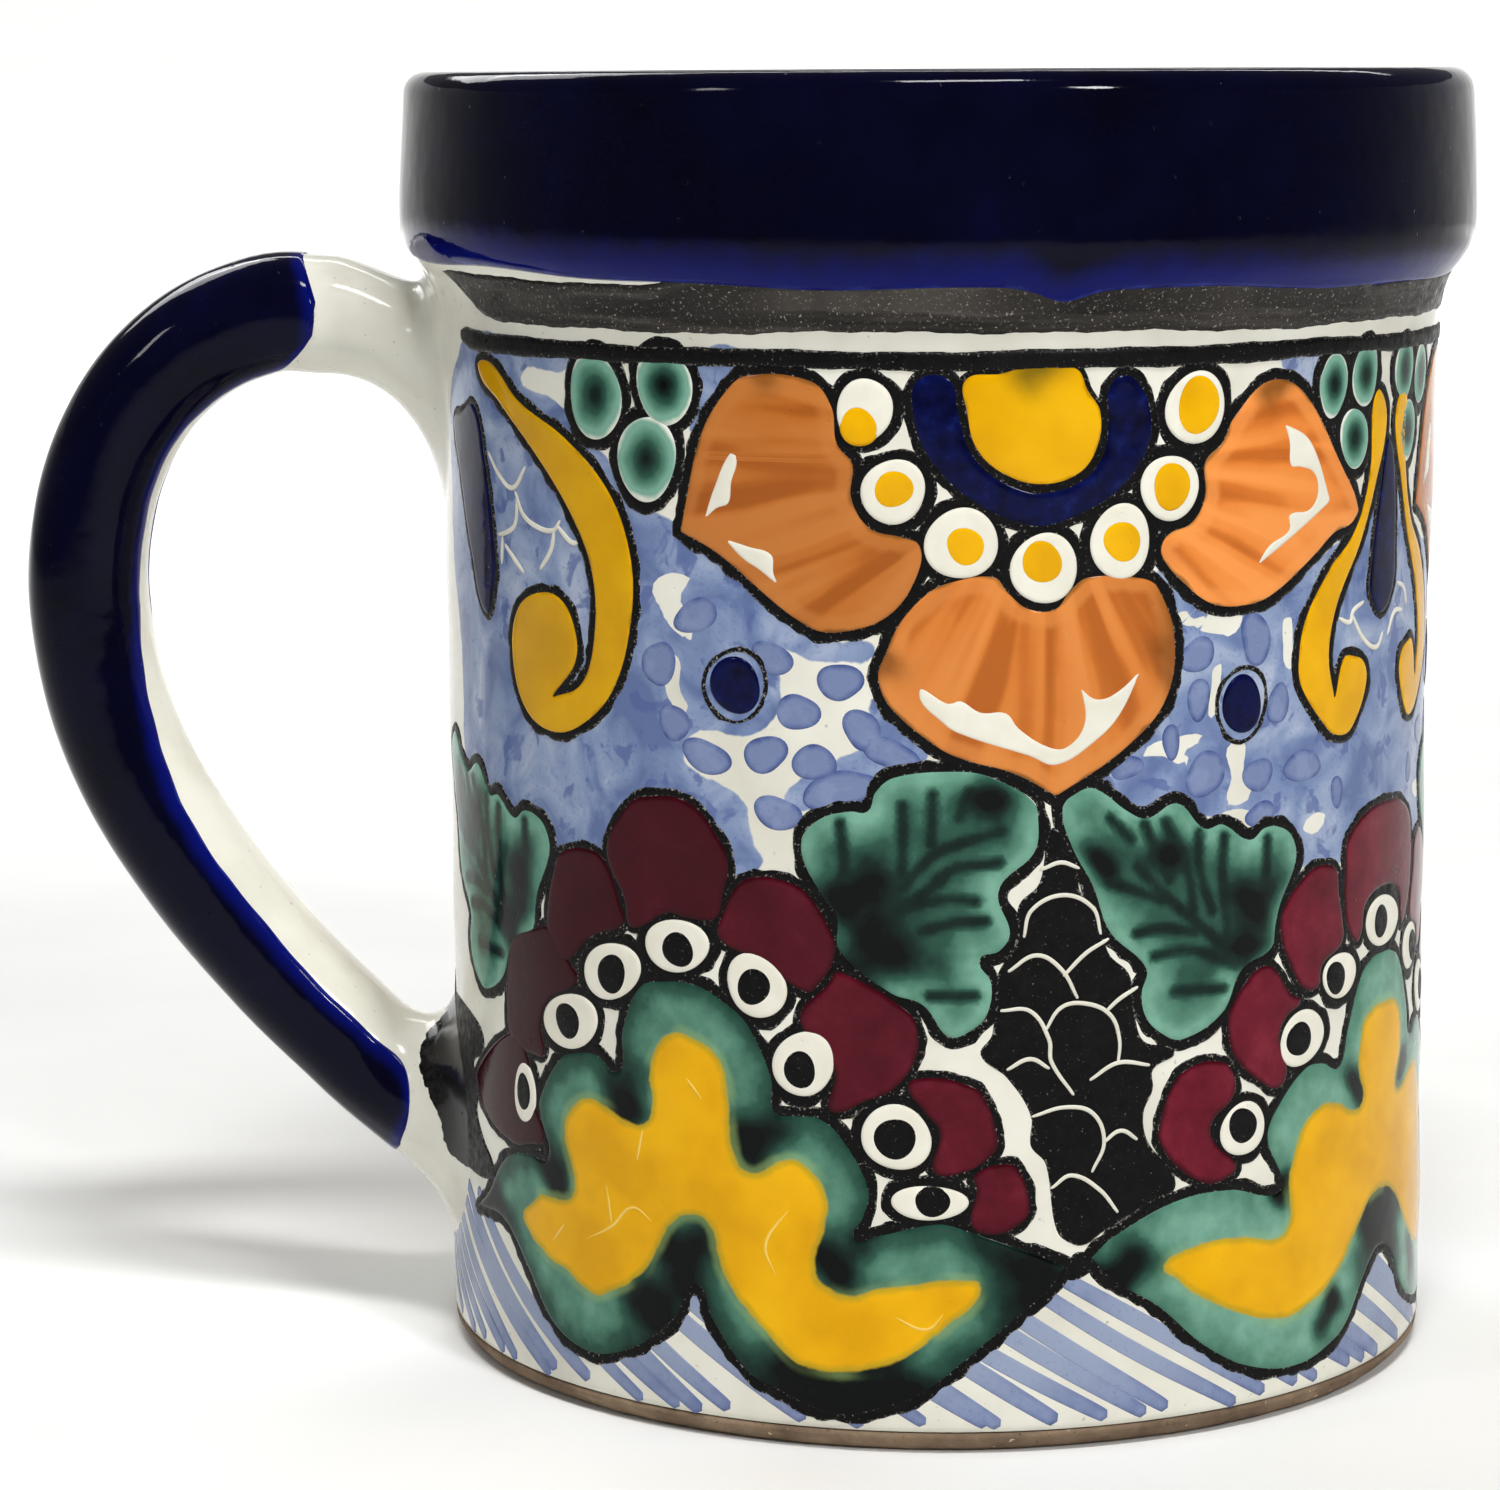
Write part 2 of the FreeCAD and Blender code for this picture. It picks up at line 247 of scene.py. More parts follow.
def arc_points(centre, radius, start, end, count):
    t = np.radians(np.linspace(start, end, count))
    return np.stack([centre[0] + radius * np.cos(t), centre[1] + radius * np.sin(t)], 1)


def wall_curve(z):
    """Radius of the plain wall at height z: a shallow curve through base, waist and top."""
    z0, z1, z2 = WALL_LOW_Z, WAIST_Z, COLLAR_ROOT_Z
    return (
        WALL_BASE_R * (z - z1) * (z - z2) / ((z0 - z1) * (z0 - z2))
        + WALL_WAIST_R * (z - z0) * (z - z2) / ((z1 - z0) * (z1 - z2))
        + WALL_TOP_R * (z - z0) * (z - z1) / ((z2 - z0) * (z2 - z1))
    )


def outer_profile():
    """(radius, height) up the outside wall, round the collar's soft foot and up to the lip's round."""
    z = np.linspace(WALL_LOW_Z, COLLAR_START_Z, 144)
    wall = np.stack([wall_curve(z), z], 1)
    collar = smooth([tuple(wall[-1]), *COLLAR], closed=False, step=0.4)
    top_r, lip = COLLAR[-1][0], LIP_OUTER_ROUND
    turn = arc_points((top_r - lip, LIP_Z - lip), lip, 0, 90, 10)
    return np.vstack([wall, collar[1:], turn[1:]])


def inner_profile():
    """(radius, height) over the lip's inner round, down the inside wall and across the floor."""
    lip = arc_points((MOUTH_R + LIP_INNER_ROUND, LIP_Z - LIP_INNER_ROUND), LIP_INNER_ROUND, 90, 180, 10)
    corner = INSIDE_CORNER_R
    wall_z = np.linspace(LIP_Z - LIP_INNER_ROUND, FLOOR_Z + corner, 44)[1:]
    wall = np.stack([np.full(len(wall_z), MOUTH_R), wall_z], 1)
    turn = arc_points((MOUTH_R - corner, FLOOR_Z + corner), corner, 0, -90, 12)[1:]
    floor_r = np.linspace(MOUTH_R - corner, AXIS_R, 16)[1:]
    floor = np.stack([floor_r, np.full(len(floor_r), FLOOR_Z)], 1)
    return np.vstack([lip, wall, turn, floor])


OUTER = outer_profile()
UNDER_LIP = OUTER[OUTER[:, 1] < LIP_Z - LIP_OUTER_ROUND]  # the part that rises steadily


def throwing(angle, z):
    """The slight unevenness left by the potter's hands, as a change of radius."""
    return (
        0.05 * np.sin(0.42 * z + 2 * np.sin(angle))
        + 0.05 * np.sin(3 * angle + 0.11 * z)
        + 0.03 * np.sin(7 * angle - 0.23 * z + 1.3)
    )


def around(r, angle, z):
    """The points at radius r and height z, the given angle round the axis from -Y towards +X."""
    return np.stack(np.broadcast_arrays(r * np.sin(angle), -r * np.cos(angle), z), -1)


def turned_points(profile, angle):
    """A grid of points, one row per (radius, height) of the profile and one column per angle."""
    r, z = profile[:, :1], profile[:, 1:]
    return around(r + throwing(angle, z), angle, z)


def on_wall(u, z, height):
    """The point over (u, z) of the unrolled wall that stands height above the glaze."""
    angle = np.asarray(u) / UNROLL_R
    r = np.interp(z, UNDER_LIP[:, 1], UNDER_LIP[:, 0]) + throwing(angle, z) + height
    return around(r, angle, z)


# ---------------------------------------------------------------- meshes


def make_object(name, points, faces, attributes=None):
    """A smooth mesh object from points in millimetres, with float or vector values per point."""
    mesh = bpy.data.meshes.new(name)
    mesh.from_pydata((np.asarray(points) * MM).tolist(), [], faces)
    work = bmesh.new()
    work.from_mesh(mesh)
    bmesh.ops.recalc_face_normals(work, faces=work.faces)
    work.to_mesh(mesh)
    work.free()
    mesh.shade_smooth()
    for key, values in (attributes or {}).items():
        values = np.asarray(values, np.float32)
        if values.ndim == 1:
            mesh.attributes.new(key, "FLOAT", "POINT").data.foreach_set("value", values)
        else:
            mesh.attributes.new(key, "FLOAT_VECTOR", "POINT").data.foreach_set("vector", values.ravel())
    obj = bpy.data.objects.new(name, mesh)
    bpy.context.collection.objects.link(obj)
    return obj


def finish_piece(obj, material, slot, *nodes):
    """Gives a piece its material, hangs it on the root body and hides the CAD nodes it stands for. slot is
    not used.
    """
    obj.data.materials.append(material)
    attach(obj, "root")
    if nodes:
        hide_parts(*nodes)
    return obj


def grid_faces(rows, columns, wrap_rows, wrap_columns, start=0, flip=False):
    """Four-sided faces over a grid of points stored row by row."""
    faces = []
    for i in range(rows if wrap_rows else rows - 1):
        a, b = start + i * columns, start + (i + 1) % rows * columns
        for j in range(columns if wrap_columns else columns - 1):
            k = (j + 1) % columns
            quad = (a + j, a + k, b + k, b + j)
            faces.append(quad[::-1] if flip else quad)
    return faces


def tube_faces(rows, columns, flip=False):
    """Faces of a closed tube of rings, with a flat face over each end."""
    first, last = tuple(range(columns)), tuple(range((rows - 1) * columns, rows * columns))
    ends = [first, last[::-1]] if flip else [first[::-1], last]
    return grid_faces(rows, columns, False, True, flip=flip) + ends


def shell_faces(rows, columns, wrap_rows, wrap_columns):
    """Faces of a closed solid between two grids of points, the upper one stored before the lower."""
    n = rows * columns
    faces = grid_faces(rows, columns, wrap_rows, wrap_columns)
    faces += grid_faces(rows, columns, wrap_rows, wrap_columns, start=n, flip=True)
    if not wrap_columns:
        for side in (0, columns - 1):
            for i in range(rows if wrap_rows else rows - 1):
                a, b = i * columns + side, (i + 1) % rows * columns + side
                faces.append((a, b, b + n, a + n) if side == 0 else (b, a, a + n, b + n))
    if not wrap_rows:
        for end in (0, rows - 1):
            for j in range(columns if wrap_columns else columns - 1):
                a, b = end * columns + j, end * columns + (j + 1) % columns
                faces.append((b, a, a + n, b + n) if end == 0 else (a, b, b + n, a + n))
    return faces


def shoulder(distance, rounding):
    """The rise of a rounded edge, from 0 at its foot to 1 from the rounding's distance inwards."""
    return np.sqrt(np.clip(1 - (1 - np.clip(distance / rounding, 0, 1)) ** 2, 0, 1))


class Coat:
    """One glaze or pigment: many thin raised solids on the wall, joined in one piece."""

    NONE = {"heart": -3.0}  # what a point has where a motif gives no value

    def __init__(self, name, lift, rounding):
        self.name, self.lift, self.rounding = name, lift, rounding
        self.points, self.faces = [], []
        self.values = {"edge": [], "tint": [], "heart": [], "stroke": []}
        self.count = 0

    def store(self, points, faces, values):
        n = len(points)
        self.points.append(points)
        self.faces += [tuple(self.count + v for v in face) for face in faces]
        for key, kept in self.values.items():
            given = values.get(key)
            if given is None:
                given = np.zeros((n, 3)) if key == "stroke" else np.full(n, self.NONE.get(key, 0.0))
            kept.append(given)
        self.count += n

    def fill(self, loop, cell=0.8, lift=None, towards=None, tint=None, heart=None):
        """Covers the inside of a closed loop.

        towards is the point that brush strokes run to, tint gives a darkness per point and heart a
        signed distance per point.
        """
        lift = self.lift if lift is None else lift
        out = outward(loop)
        # Three rings of points follow the rounded edge, and rows of triangles fill the rest.
        rings = []
        for depth in (0.3, 0.8, 1.6):
            ring = loop - out * depth * self.rounding
            rings.append(ring[edge_distance(ring, loop) > depth * self.rounding * 0.85])
        low, high = loop.min(0), loop.max(0)
        rows = np.arange(low[1], high[1], cell * 0.87)
        seeds = [
            np.stack([np.arange(low[0] + (k % 2) * cell / 2, high[0], cell)] * 2, 1) * (1, 0) + (0, z)
            for k, z in enumerate(rows)
        ]
        grid = np.vstack(seeds) if seeds else np.zeros((0, 2))
        grid = grid[is_inside(grid, loop)]
        grid = grid[edge_distance(grid, loop) > 1.6 * self.rounding + cell * 0.4]
        inner = np.vstack([*rings, grid])
        inner = inner[is_inside(inner, loop)]
        flat = np.vstack([loop, inner])
        edges = [(i, (i + 1) % len(loop)) for i in range(len(loop))]
        found, _, faces, *_ = delaunay_2d_cdt([Vector(p) for p in flat], edges, [], 1, 1e-6)
        flat = np.array([tuple(p) for p in found])
        depth = edge_distance(flat, loop)
        border = {}
        for face in faces:
            for a, b in zip(face, [*face[1:], face[0]]):
                border[(a, b)] = border.get((b, a)) is None
                if not border[(a, b)]:
                    border[(b, a)] = False
        n = len(flat)
        height = lift * shoulder(depth, self.rounding)
        if heart is not None:
            core = np.tile(heart(flat), 2)
            height += 0.05 * np.clip(core[:n], 0, 1)
        top = on_wall(*flat.T, height)
        bottom = on_wall(*flat.T, -BURIED)
        solid = [tuple(face) for face in faces]
        solid += [tuple(v + n for v in reversed(face)) for face in faces]
        solid += [(a, a + n, b + n, b) for (a, b), is_rim in border.items() if is_rim]
        centre = flat.mean(0) if towards is None else np.array(towards)
        spoke = flat - centre
        far = np.hypot(*spoke.T)
        turn = np.arctan2(spoke[:, 1], spoke[:, 0]) * max(4.0, far.mean())
        stroke = np.stack([far, turn, np.full(n, rng.uniform(0, 50))], 1)
        values = {"edge": np.tile(depth, 2), "stroke": np.tile(stroke, (2, 1))}
        if tint is not None:
            values["tint"] = np.tile(tint(flat), 2)
        if heart is not None:
            values["heart"] = core
        self.store(np.vstack([top, bottom]), solid, values)

    def strip(self, inner, outer, closed=True):
        """Covers the band between two sampled lines of equal length."""
        across = np.array([0, 0.12, 0.35, 0.65, 0.88, 1])
        flat = inner[:, None] + (outer - inner)[:, None] * across[None, :, None]
        width = np.hypot(*(outer - inner).T)[:, None]
        depth = np.minimum(across, 1 - across)[None] * width
        ends = np.ones(len(inner))
        if not closed:
            ends[0] = ends[-1] = 0
        height = self.lift * shoulder(depth, self.rounding) * ends[:, None]
        rows, columns = depth.shape
        top = on_wall(flat[..., 0], flat[..., 1], height).reshape(-1, 3)
        low = on_wall(flat[..., 0], flat[..., 1], -BURIED).reshape(-1, 3)
        run = np.repeat(distances(inner), columns)
        stroke = np.stack([run, depth.ravel(), np.zeros(depth.size)], 1)
        values = {"edge": np.tile(depth.ravel(), 2), "stroke": np.tile(stroke, (2, 1))}
        self.store(np.vstack([top, low]), shell_faces(rows, columns, closed, False), values)

    def ring(self, loop, width, tuck=0.25):
        """An uneven painted outline that runs round a closed loop and a little under its fill."""
        step = np.hypot(*(np.roll(loop, -1, 0) - loop).T)
        n = len(loop)
        seed = rng.random()
        out = outward(loop)
        # Round off the normals so that the band doesn't fold at sharp corners.
        for _ in range(3):
            out = (np.roll(out, 1, 0) + 2 * out + np.roll(out, -1, 0)) / 4
        out /= np.maximum(np.hypot(*out.T), 0.3)[:, None]
        wide = width * (1 + 0.22 * wavy(n, step.sum(), seed)) + 0.07 * wavy(n, step.sum(), seed + 1, 1.1)
        # Here and there the line draws back a little from the fill.
        inner = -tuck + 0.30 * np.clip(wavy(n, step.sum(), seed + 2, 6.0) - 0.45, 0, 1)
        self.strip(loop + out * inner[:, None], loop + out * wide[:, None])

    def build(self, material, slot, *nodes):
        values = {k: np.concatenate(v) for k, v in self.values.items()}
        obj = make_object(self.name, np.vstack(self.points), self.faces, values)
        return finish_piece(obj, material, slot, *nodes)


# ---------------------------------------------------------------- materials


def linear(r, g, b):
    """A linear colour with alpha from 0-255 screen values."""
    parts = [v / 255 for v in (r, g, b)]
    return (*[v / 12.92 if v <= 0.04045 else ((v + 0.055) / 1.055) ** 2.4 for v in parts], 1.0)


YELLOWS = ((0.35, (219, 160, 2)), (0.55, (231, 172, 4)), (0.75, (238, 182, 10)))
GLAZE_IOR = 1.20  # a soft lead glaze, with deep colours under weak reflections


class Paint:
    """A material whose nodes are added one after another."""

    def __init__(self, name, roughness, ior=GLAZE_IOR):
        self.material = bpy.data.materials.new(name)
        self.material.use_nodes = True
        self.tree = self.material.node_tree
        self.shader = self.tree.nodes["Principled BSDF"]
        self.shader.inputs["Roughness"].default_value = roughness
        self.shader.inputs["IOR"].default_value = ior
        place = self.node("ShaderNodeTexCoord").outputs["Object"]
        self.place = self.vector("SCALE", {0: place, "Scale": 1 / MM})

    def node(self, kind, inputs=None, **settings):
        made = self.tree.nodes.new(kind)
        for key, value in settings.items():
            setattr(made, key, value)
        for key, value in (inputs or {}).items():
            if isinstance(value, bpy.types.NodeSocket):
                self.tree.links.new(value, made.inputs[key])
            else:
                made.inputs[key].default_value = value
        return made

    def vector(self, operation, inputs):
        return self.node("ShaderNodeVectorMath", inputs, operation=operation).outputs[0]

    def value(self, name):
        """A per-point value of the mesh."""
        return self.node("ShaderNodeAttribute", attribute_name=name).outputs["Fac"]

    def strokes(self, along, across):
        """Brush coordinates, stretched so that one unit of noise is this long and this wide."""
        stroke = self.node("ShaderNodeAttribute", attribute_name="stroke").outputs["Vector"]
        return self.vector("MULTIPLY", {0: stroke, 1: (1 / along, 1 / across, 1)})

    def noise(self, size, detail=3.0, rough=0.5, at=None, bend=0.0):
        """Noise from 0 to 1 whose lumps are about size millimetres across."""
        inputs = {"Vector": at or self.place, "Scale": 1 / size, "Detail": detail, "Roughness": rough}
        inputs["Distortion"] = bend
        return self.node("ShaderNodeTexNoise", inputs).outputs["Fac"]

    def math(self, operation, a, b):
        return self.node("ShaderNodeMath", {0: a, 1: b}, operation=operation).outputs[0]

    def uneven(self, value, size, detail, amount):
        """A value with noise of the given size added, half of it up and half down."""
        noise = self.math("SUBTRACT", self.noise(size, detail), 0.5)
        return self.math("ADD", value, self.math("MULTIPLY", noise, amount))

    def raised(self, key, size, detail, amount):
        """A value of the mesh with noise of the given size added on top."""
        return self.math("ADD", self.value(key), self.math("MULTIPLY", self.noise(size, detail), amount))

    def over(self, base, share, colour, strength=1.0):
        """A colour laid over base where share is 1, at the given strength."""
        return self.mix(self.math("MULTIPLY", share, strength), base, colour)

    def ramp(self, value, low, high):
        """0 below low, 1 above high, smooth between."""
        inputs = {"Value": value, "From Min": low, "From Max": high}
        made = self.node("ShaderNodeMapRange", inputs, interpolation_type="SMOOTHSTEP")
        return made.outputs["Result"]

    def colours(self, value, *stops):
        """A colour ramp: stops are (place, colour)."""
        made = self.node("ShaderNodeValToRGB", {"Fac": value})
        ramp = made.color_ramp
        while len(ramp.elements) < len(stops):
            ramp.elements.new(0.5)
        for element, (place, colour) in zip(ramp.elements, stops):
            element.position, element.color = place, linear(*colour)
        return made.outputs["Color"]

    def mix(self, share, a, b):
        """The colour a where share is 0 and b where it is 1, each a colour or another node's."""
        a, b = (linear(*c) if isinstance(c, tuple) else c for c in (a, b))
        return self.node("ShaderNodeMix", {0: share, 6: a, 7: b}, data_type="RGBA").outputs[2]

    def finish(self, colour, bumps=(), roughness=None):
        """Links the colour and the bumps, each (height 0 to 1, depth in millimetres)."""
        self.tree.links.new(colour, self.shader.inputs["Base Color"])
        if roughness is not None:
            self.tree.links.new(roughness, self.shader.inputs["Roughness"])
        normal = None
        for height, depth in bumps:
            inputs = {"Height": height, "Distance": depth * MM}
            if normal is not None:
                inputs["Normal"] = normal
            normal = self.node("ShaderNodeBump", inputs).outputs["Normal"]
        if normal is not None:
            self.tree.links.new(normal, self.shader.inputs["Normal"])
        return self.material

    def glaze_bumps(self):
        """The faint ripple of a poured glaze, and its pinholes."""
        spots = self.node("ShaderNodeTexVoronoi", {"Vector": self.place, "Scale": 1 / 2.2})
        pin = self.ramp(spots.outputs["Distance"], 0.03, 0.075)
        return [(self.noise(6.0, 2), 0.10), (self.noise(1.1, 2), 0.010), (pin, 0.03)]


def white_glaze():
    """Opaque tin-white glaze, with a thin blue wash where the mesh's wash value asks for it."""
    p = Paint("white_glaze", 0.13, 1.26)
    plain = p.colours(p.noise(9, 4), (0.3, (212, 209, 195)), (0.55, (226, 224, 211)), (0.8, (232, 231, 220)))
    plain = p.over(plain, p.ramp(p.noise(0.55, 1), 0.74, 0.80), (150, 146, 138), 0.5)
    # Broad watery brush strokes, with darker ones laid over them here and there.
    blue = p.colours(
        p.noise(5.5, 3, 0.5, bend=0.7),
        (0.36, (94, 111, 154)),
        (0.46, (116, 134, 172)),
        (0.56, (136, 152, 184)),
        (0.70, (166, 176, 198)),
    )
    pool = p.ramp(p.noise(2.8, 3, 0.55, bend=0.5), 0.56, 0.64)
    blue = p.over(blue, pool, (80, 97, 150), 0.75)
    blue = p.over(blue, p.ramp(p.noise(0.30, 2), 0.55, 0.75), (84, 98, 152), 0.4)
    wash = p.uneven(p.value("wash"), 3.0, 3, 0.9)
    base = p.mix(p.ramp(wash, -0.10, 0.02), plain, blue)
    ink = p.uneven(p.value("ink"), 1.2, 4, 1.2)
    black = p.colours(p.noise(0.5, 3), (0.35, (12, 12, 12)), (0.7, (34, 32, 32)))
    return p.finish(p.mix(p.ramp(ink, -0.05, 0.05), base, black), p.glaze_bumps())


def cobalt_glaze():
    """Deep cobalt that turns bright where it thins out at its edges."""
    p = Paint("cobalt_glaze", 0.07)
    deep = p.colours(p.noise(9, 4, 0.6), (0.3, (2, 2, 16)), (0.6, (4, 4, 28)), (0.85, (8, 10, 48)))
    thin = p.raised("edge", 2.4, 3, 1.6)
    deep = p.mix(p.ramp(thin, 5.0, 1.6), deep, (6, 14, 96))
    return p.finish(p.mix(p.ramp(thin, 1.4, 0.8), deep, (30, 44, 126)), p.glaze_bumps())


def navy_glaze():
    p = Paint("navy_glaze", 0.10, 1.18)
    deep = p.colours(p.noise(1.5, 4, 0.6), (0.3, (4, 5, 28)), (0.6, (8, 14, 62)), (0.85, (20, 34, 100)))
    return p.finish(deep, p.glaze_bumps())


def black_pigment():
    """Dry black, crowded with pale grains that thicken towards its edges."""
    p = Paint("black_pigment", 0.42)
    base = p.colours(p.noise(1.2, 4, 0.7), (0.3, (5, 5, 5)), (0.6, (14, 13, 13)), (0.85, (28, 27, 26)))
    near = p.ramp(p.value("edge"), 0.40, 0.0)
    grains = p.math("ADD", p.noise(0.24, 3, 0.7), p.math("MULTIPLY", near, 0.14))
    base = p.mix(p.ramp(grains, 0.66, 0.74), base, (138, 135, 128))
    return p.finish(base, [(p.noise(0.3, 3), 0.03), (p.noise(5, 2), 0.06)], p.ramp(p.noise(0.8), -0.4, 1.6))


def band_pigment():
    """The same black laid thinly, so that much of it is grey."""
    p = Paint("thin_black_pigment", 0.42)
    cloud = p.noise(1.0, 4, 0.6, at=p.strokes(22, 1.1))
    base = p.colours(cloud, (0.3, (22, 20, 19)), (0.5, (48, 45, 42)), (0.72, (84, 80, 75)))
    base = p.mix(p.ramp(p.noise(0.26, 3, 0.75), 0.60, 0.70), base, (168, 163, 154))
    return p.finish(base, [(p.noise(0.3, 3), 0.025), (p.noise(5, 2), 0.06)], p.ramp(p.noise(0.8), -0.2, 1.5))


def orange_glaze():
    """Orange laid in broad strokes that run out from the flower's heart, paler along the edge."""
    p = Paint("orange_glaze", 0.12)
    streak = p.noise(1.0, 1, 0.3, at=p.strokes(16.0, 2.0), bend=0.3)
    streak = p.uneven(streak, 2.4, 3, 0.10)
    base = p.colours(
        streak, (0.36, (192, 102, 37)), (0.45, (209, 116, 45)), (0.51, (226, 132, 57)), (0.66, (238, 148, 74))
    )
    border = p.raised("edge", 3, 2, 1.2)
    base = p.over(base, p.ramp(border, 2.3, 1.5), (240, 152, 78), 0.6)
    base = p.over(base, p.ramp(border, 0.95, 0.6), (104, 70, 30), 0.7)
    # The mesh's tint darkens it to brown: pooled dark spots, and painted shade that is strongest on the left
    # petal.
    return p.finish(p.over(base, p.value("tint"), (106, 60, 16), 0.8), p.glaze_bumps())


def wine_glaze():
    """Thick wine red, darkened nearly to brown where the mesh's tint asks for it: painted shade, strongest on
    the petals at the left.
    """
    p = Paint("wine_glaze", 0.11)
    base = p.colours(p.noise(4, 4, 0.6), (0.3, (82, 12, 26)), (0.55, (104, 20, 38)), (0.8, (126, 36, 54)))
    base = p.mix(p.ramp(p.raised("edge", 2, 3, 0.8), 1.0, 0.5), base, (62, 10, 20))
    return p.finish(p.mix(p.value("tint"), base, (44, 6, 12)), p.glaze_bumps())


def yellow_glaze():
    p = Paint("yellow_glaze", 0.12)
    base = p.colours(p.noise(6, 2), *YELLOWS)
    base = p.over(base, p.ramp(p.raised("edge", 2.2, 3, 1.1), 0.85, 0.5), (176, 124, 10), 0.8)
    # The mesh's tint darkens it to olive: painted shade over the left scroll, and a dark spot at the top of
    # each flower's heart.
    return p.finish(p.over(base, p.value("tint"), (84, 76, 16), 0.8), p.glaze_bumps())


def green_glaze():
    """Green that pools from pale teal to near black, with yellow where the mesh has a heart.

    Where the mesh's tint is well below 0 the glaze thins out to white.
    """
    p = Paint("green_glaze", 0.11)
    cloud = p.uneven(p.value("tint"), 2.6, 4, 0.5)
    green = p.colours(
        cloud,
        (0.02, (120, 168, 148)),
        (0.22, (86, 134, 114)),
        (0.45, (44, 84, 70)),
        (0.72, (18, 40, 34)),
        (0.95, (6, 10, 9)),
    )
    green = p.mix(p.ramp(cloud, -0.06, -0.26), green, (222, 224, 212))
    core = p.uneven(p.value("heart"), 1.6, 3, 0.55)
    yellow = p.colours(p.noise(6, 2), *YELLOWS)
    yellow = p.over(yellow, p.ramp(core, 0.7, 0.1), (150, 142, 40), 0.6)
    halo = p.math("MULTIPLY", p.ramp(core, -0.9, -0.25), p.ramp(p.noise(7, 2), 0.42, 0.60))
    green = p.over(green, halo, (152, 180, 110), 0.35)
    return p.finish(p.mix(p.ramp(core, -0.14, 0.14), green, yellow), p.glaze_bumps())


def blue_dab():
    """A thin blue brush mark, darker where the colour pooled at its edge."""
    p = Paint("blue_wash", 0.14)
    depth = p.raised("edge", 1.4, 3, 0.9)
    base = p.colours(depth, (0.36, (62, 77, 130)), (0.58, (86, 101, 148)), (0.95, (116, 129, 166)))
    base = p.over(base, p.ramp(p.noise(2.4, 2), 0.50, 0.66), (136, 150, 184), 0.45)
    base = p.mix(p.value("tint"), base, (144, 155, 180))
    return p.finish(p.over(base, p.ramp(p.noise(0.3, 2), 0.6, 0.75), (72, 86, 138), 0.3), p.glaze_bumps())


def bright_white():
    p = Paint("eye_white", 0.12)
    base = p.colours(p.noise(3, 3), (0.3, (222, 218, 202)), (0.7, (232, 229, 216)))
    return p.finish(p.over(base, p.ramp(p.value("edge"), 0.25, 0.0), (168, 164, 150), 0.35), p.glaze_bumps())


def pale_ripple_highlight():
    """Raised ripple lines in the yellow glaze, coloured pale as painted highlight where they catch the light.
    """
    p = Paint("pale_ripple_highlight", 0.14)
    return p.finish(p.colours(p.noise(2, 3), (0.3, (232, 186, 66)), (0.7, (240, 204, 112))), p.glaze_bumps())


def bare_clay():
    """Dry low-fired clay: sandy, pored, and stained here and there."""
    p = Paint("bare_clay", 0.85)
    base = p.colours(p.noise(5, 5, 0.6), (0.3, (100, 83, 68)), (0.55, (132, 112, 92)), (0.8, (160, 140, 117)))
    base = p.mix(p.ramp(p.noise(0.5, 3, 0.7), 0.62, 0.72), base, (84, 66, 52))
    base = p.mix(p.ramp(p.noise(0.7, 2), 0.70, 0.76), base, (200, 182, 156))
    return p.finish(base, [(p.noise(0.4, 4, 0.7), 0.10), (p.noise(2.5, 3), 0.15)])


# ---------------------------------------------------------------- the vessel


def collar_glaze_ends(angle):
    """Where the cobalt stops: height on the outside, and height down the inside, at each angle."""
    outside = COBALT_OUTSIDE_Z + waves(angle, (0.9, 1, 3.6), (0.18, 5, 0), (0.12, 13, 1))
    # One drip runs lower, a little to the right of the middle.
    outside -= 1.1 * np.exp(-(((angle * UNROLL_R - 9.5) / 2.2) ** 2))
    inside = COBALT_INSIDE_Z + waves(angle, (0.35, 3, 1), (0.2, 9, 0), (0.1, 21, 2))
    return outside, inside


def share_of(u, z, outline, soft):
    """1 well inside an outline, -1 well outside, and 0 on its line."""
    low, high = outline.min(0) - soft, outline.max(0) + soft
    near = (u > low[0]) & (u < high[0]) & (z > low[1]) & (z < high[1])
    out = np.full(u.shape, -1.0)
    flat = np.stack([u[near], z[near]], 1)
    out[near] = np.clip(signed_distance(outline)(flat) / soft, -1, 1)
    return out


def wash_at(u, z):
    """How well the blue wash covers each point of the wall: over 0 is covered."""
    u = (u - HANDLE_U) % ROUND + HANDLE_U
    wash = np.full(u.shape, -1.0)
    for outline, shift in WASHES:
        wash = np.maximum(wash, share_of(u, z, smooth(shifted(outline, shift)), 1.6))
    for outline, shift in WASH_GAPS:
        wash = np.minimum(wash, -share_of(u, z, smooth(shifted(outline, shift)), 0.5))
    return wash


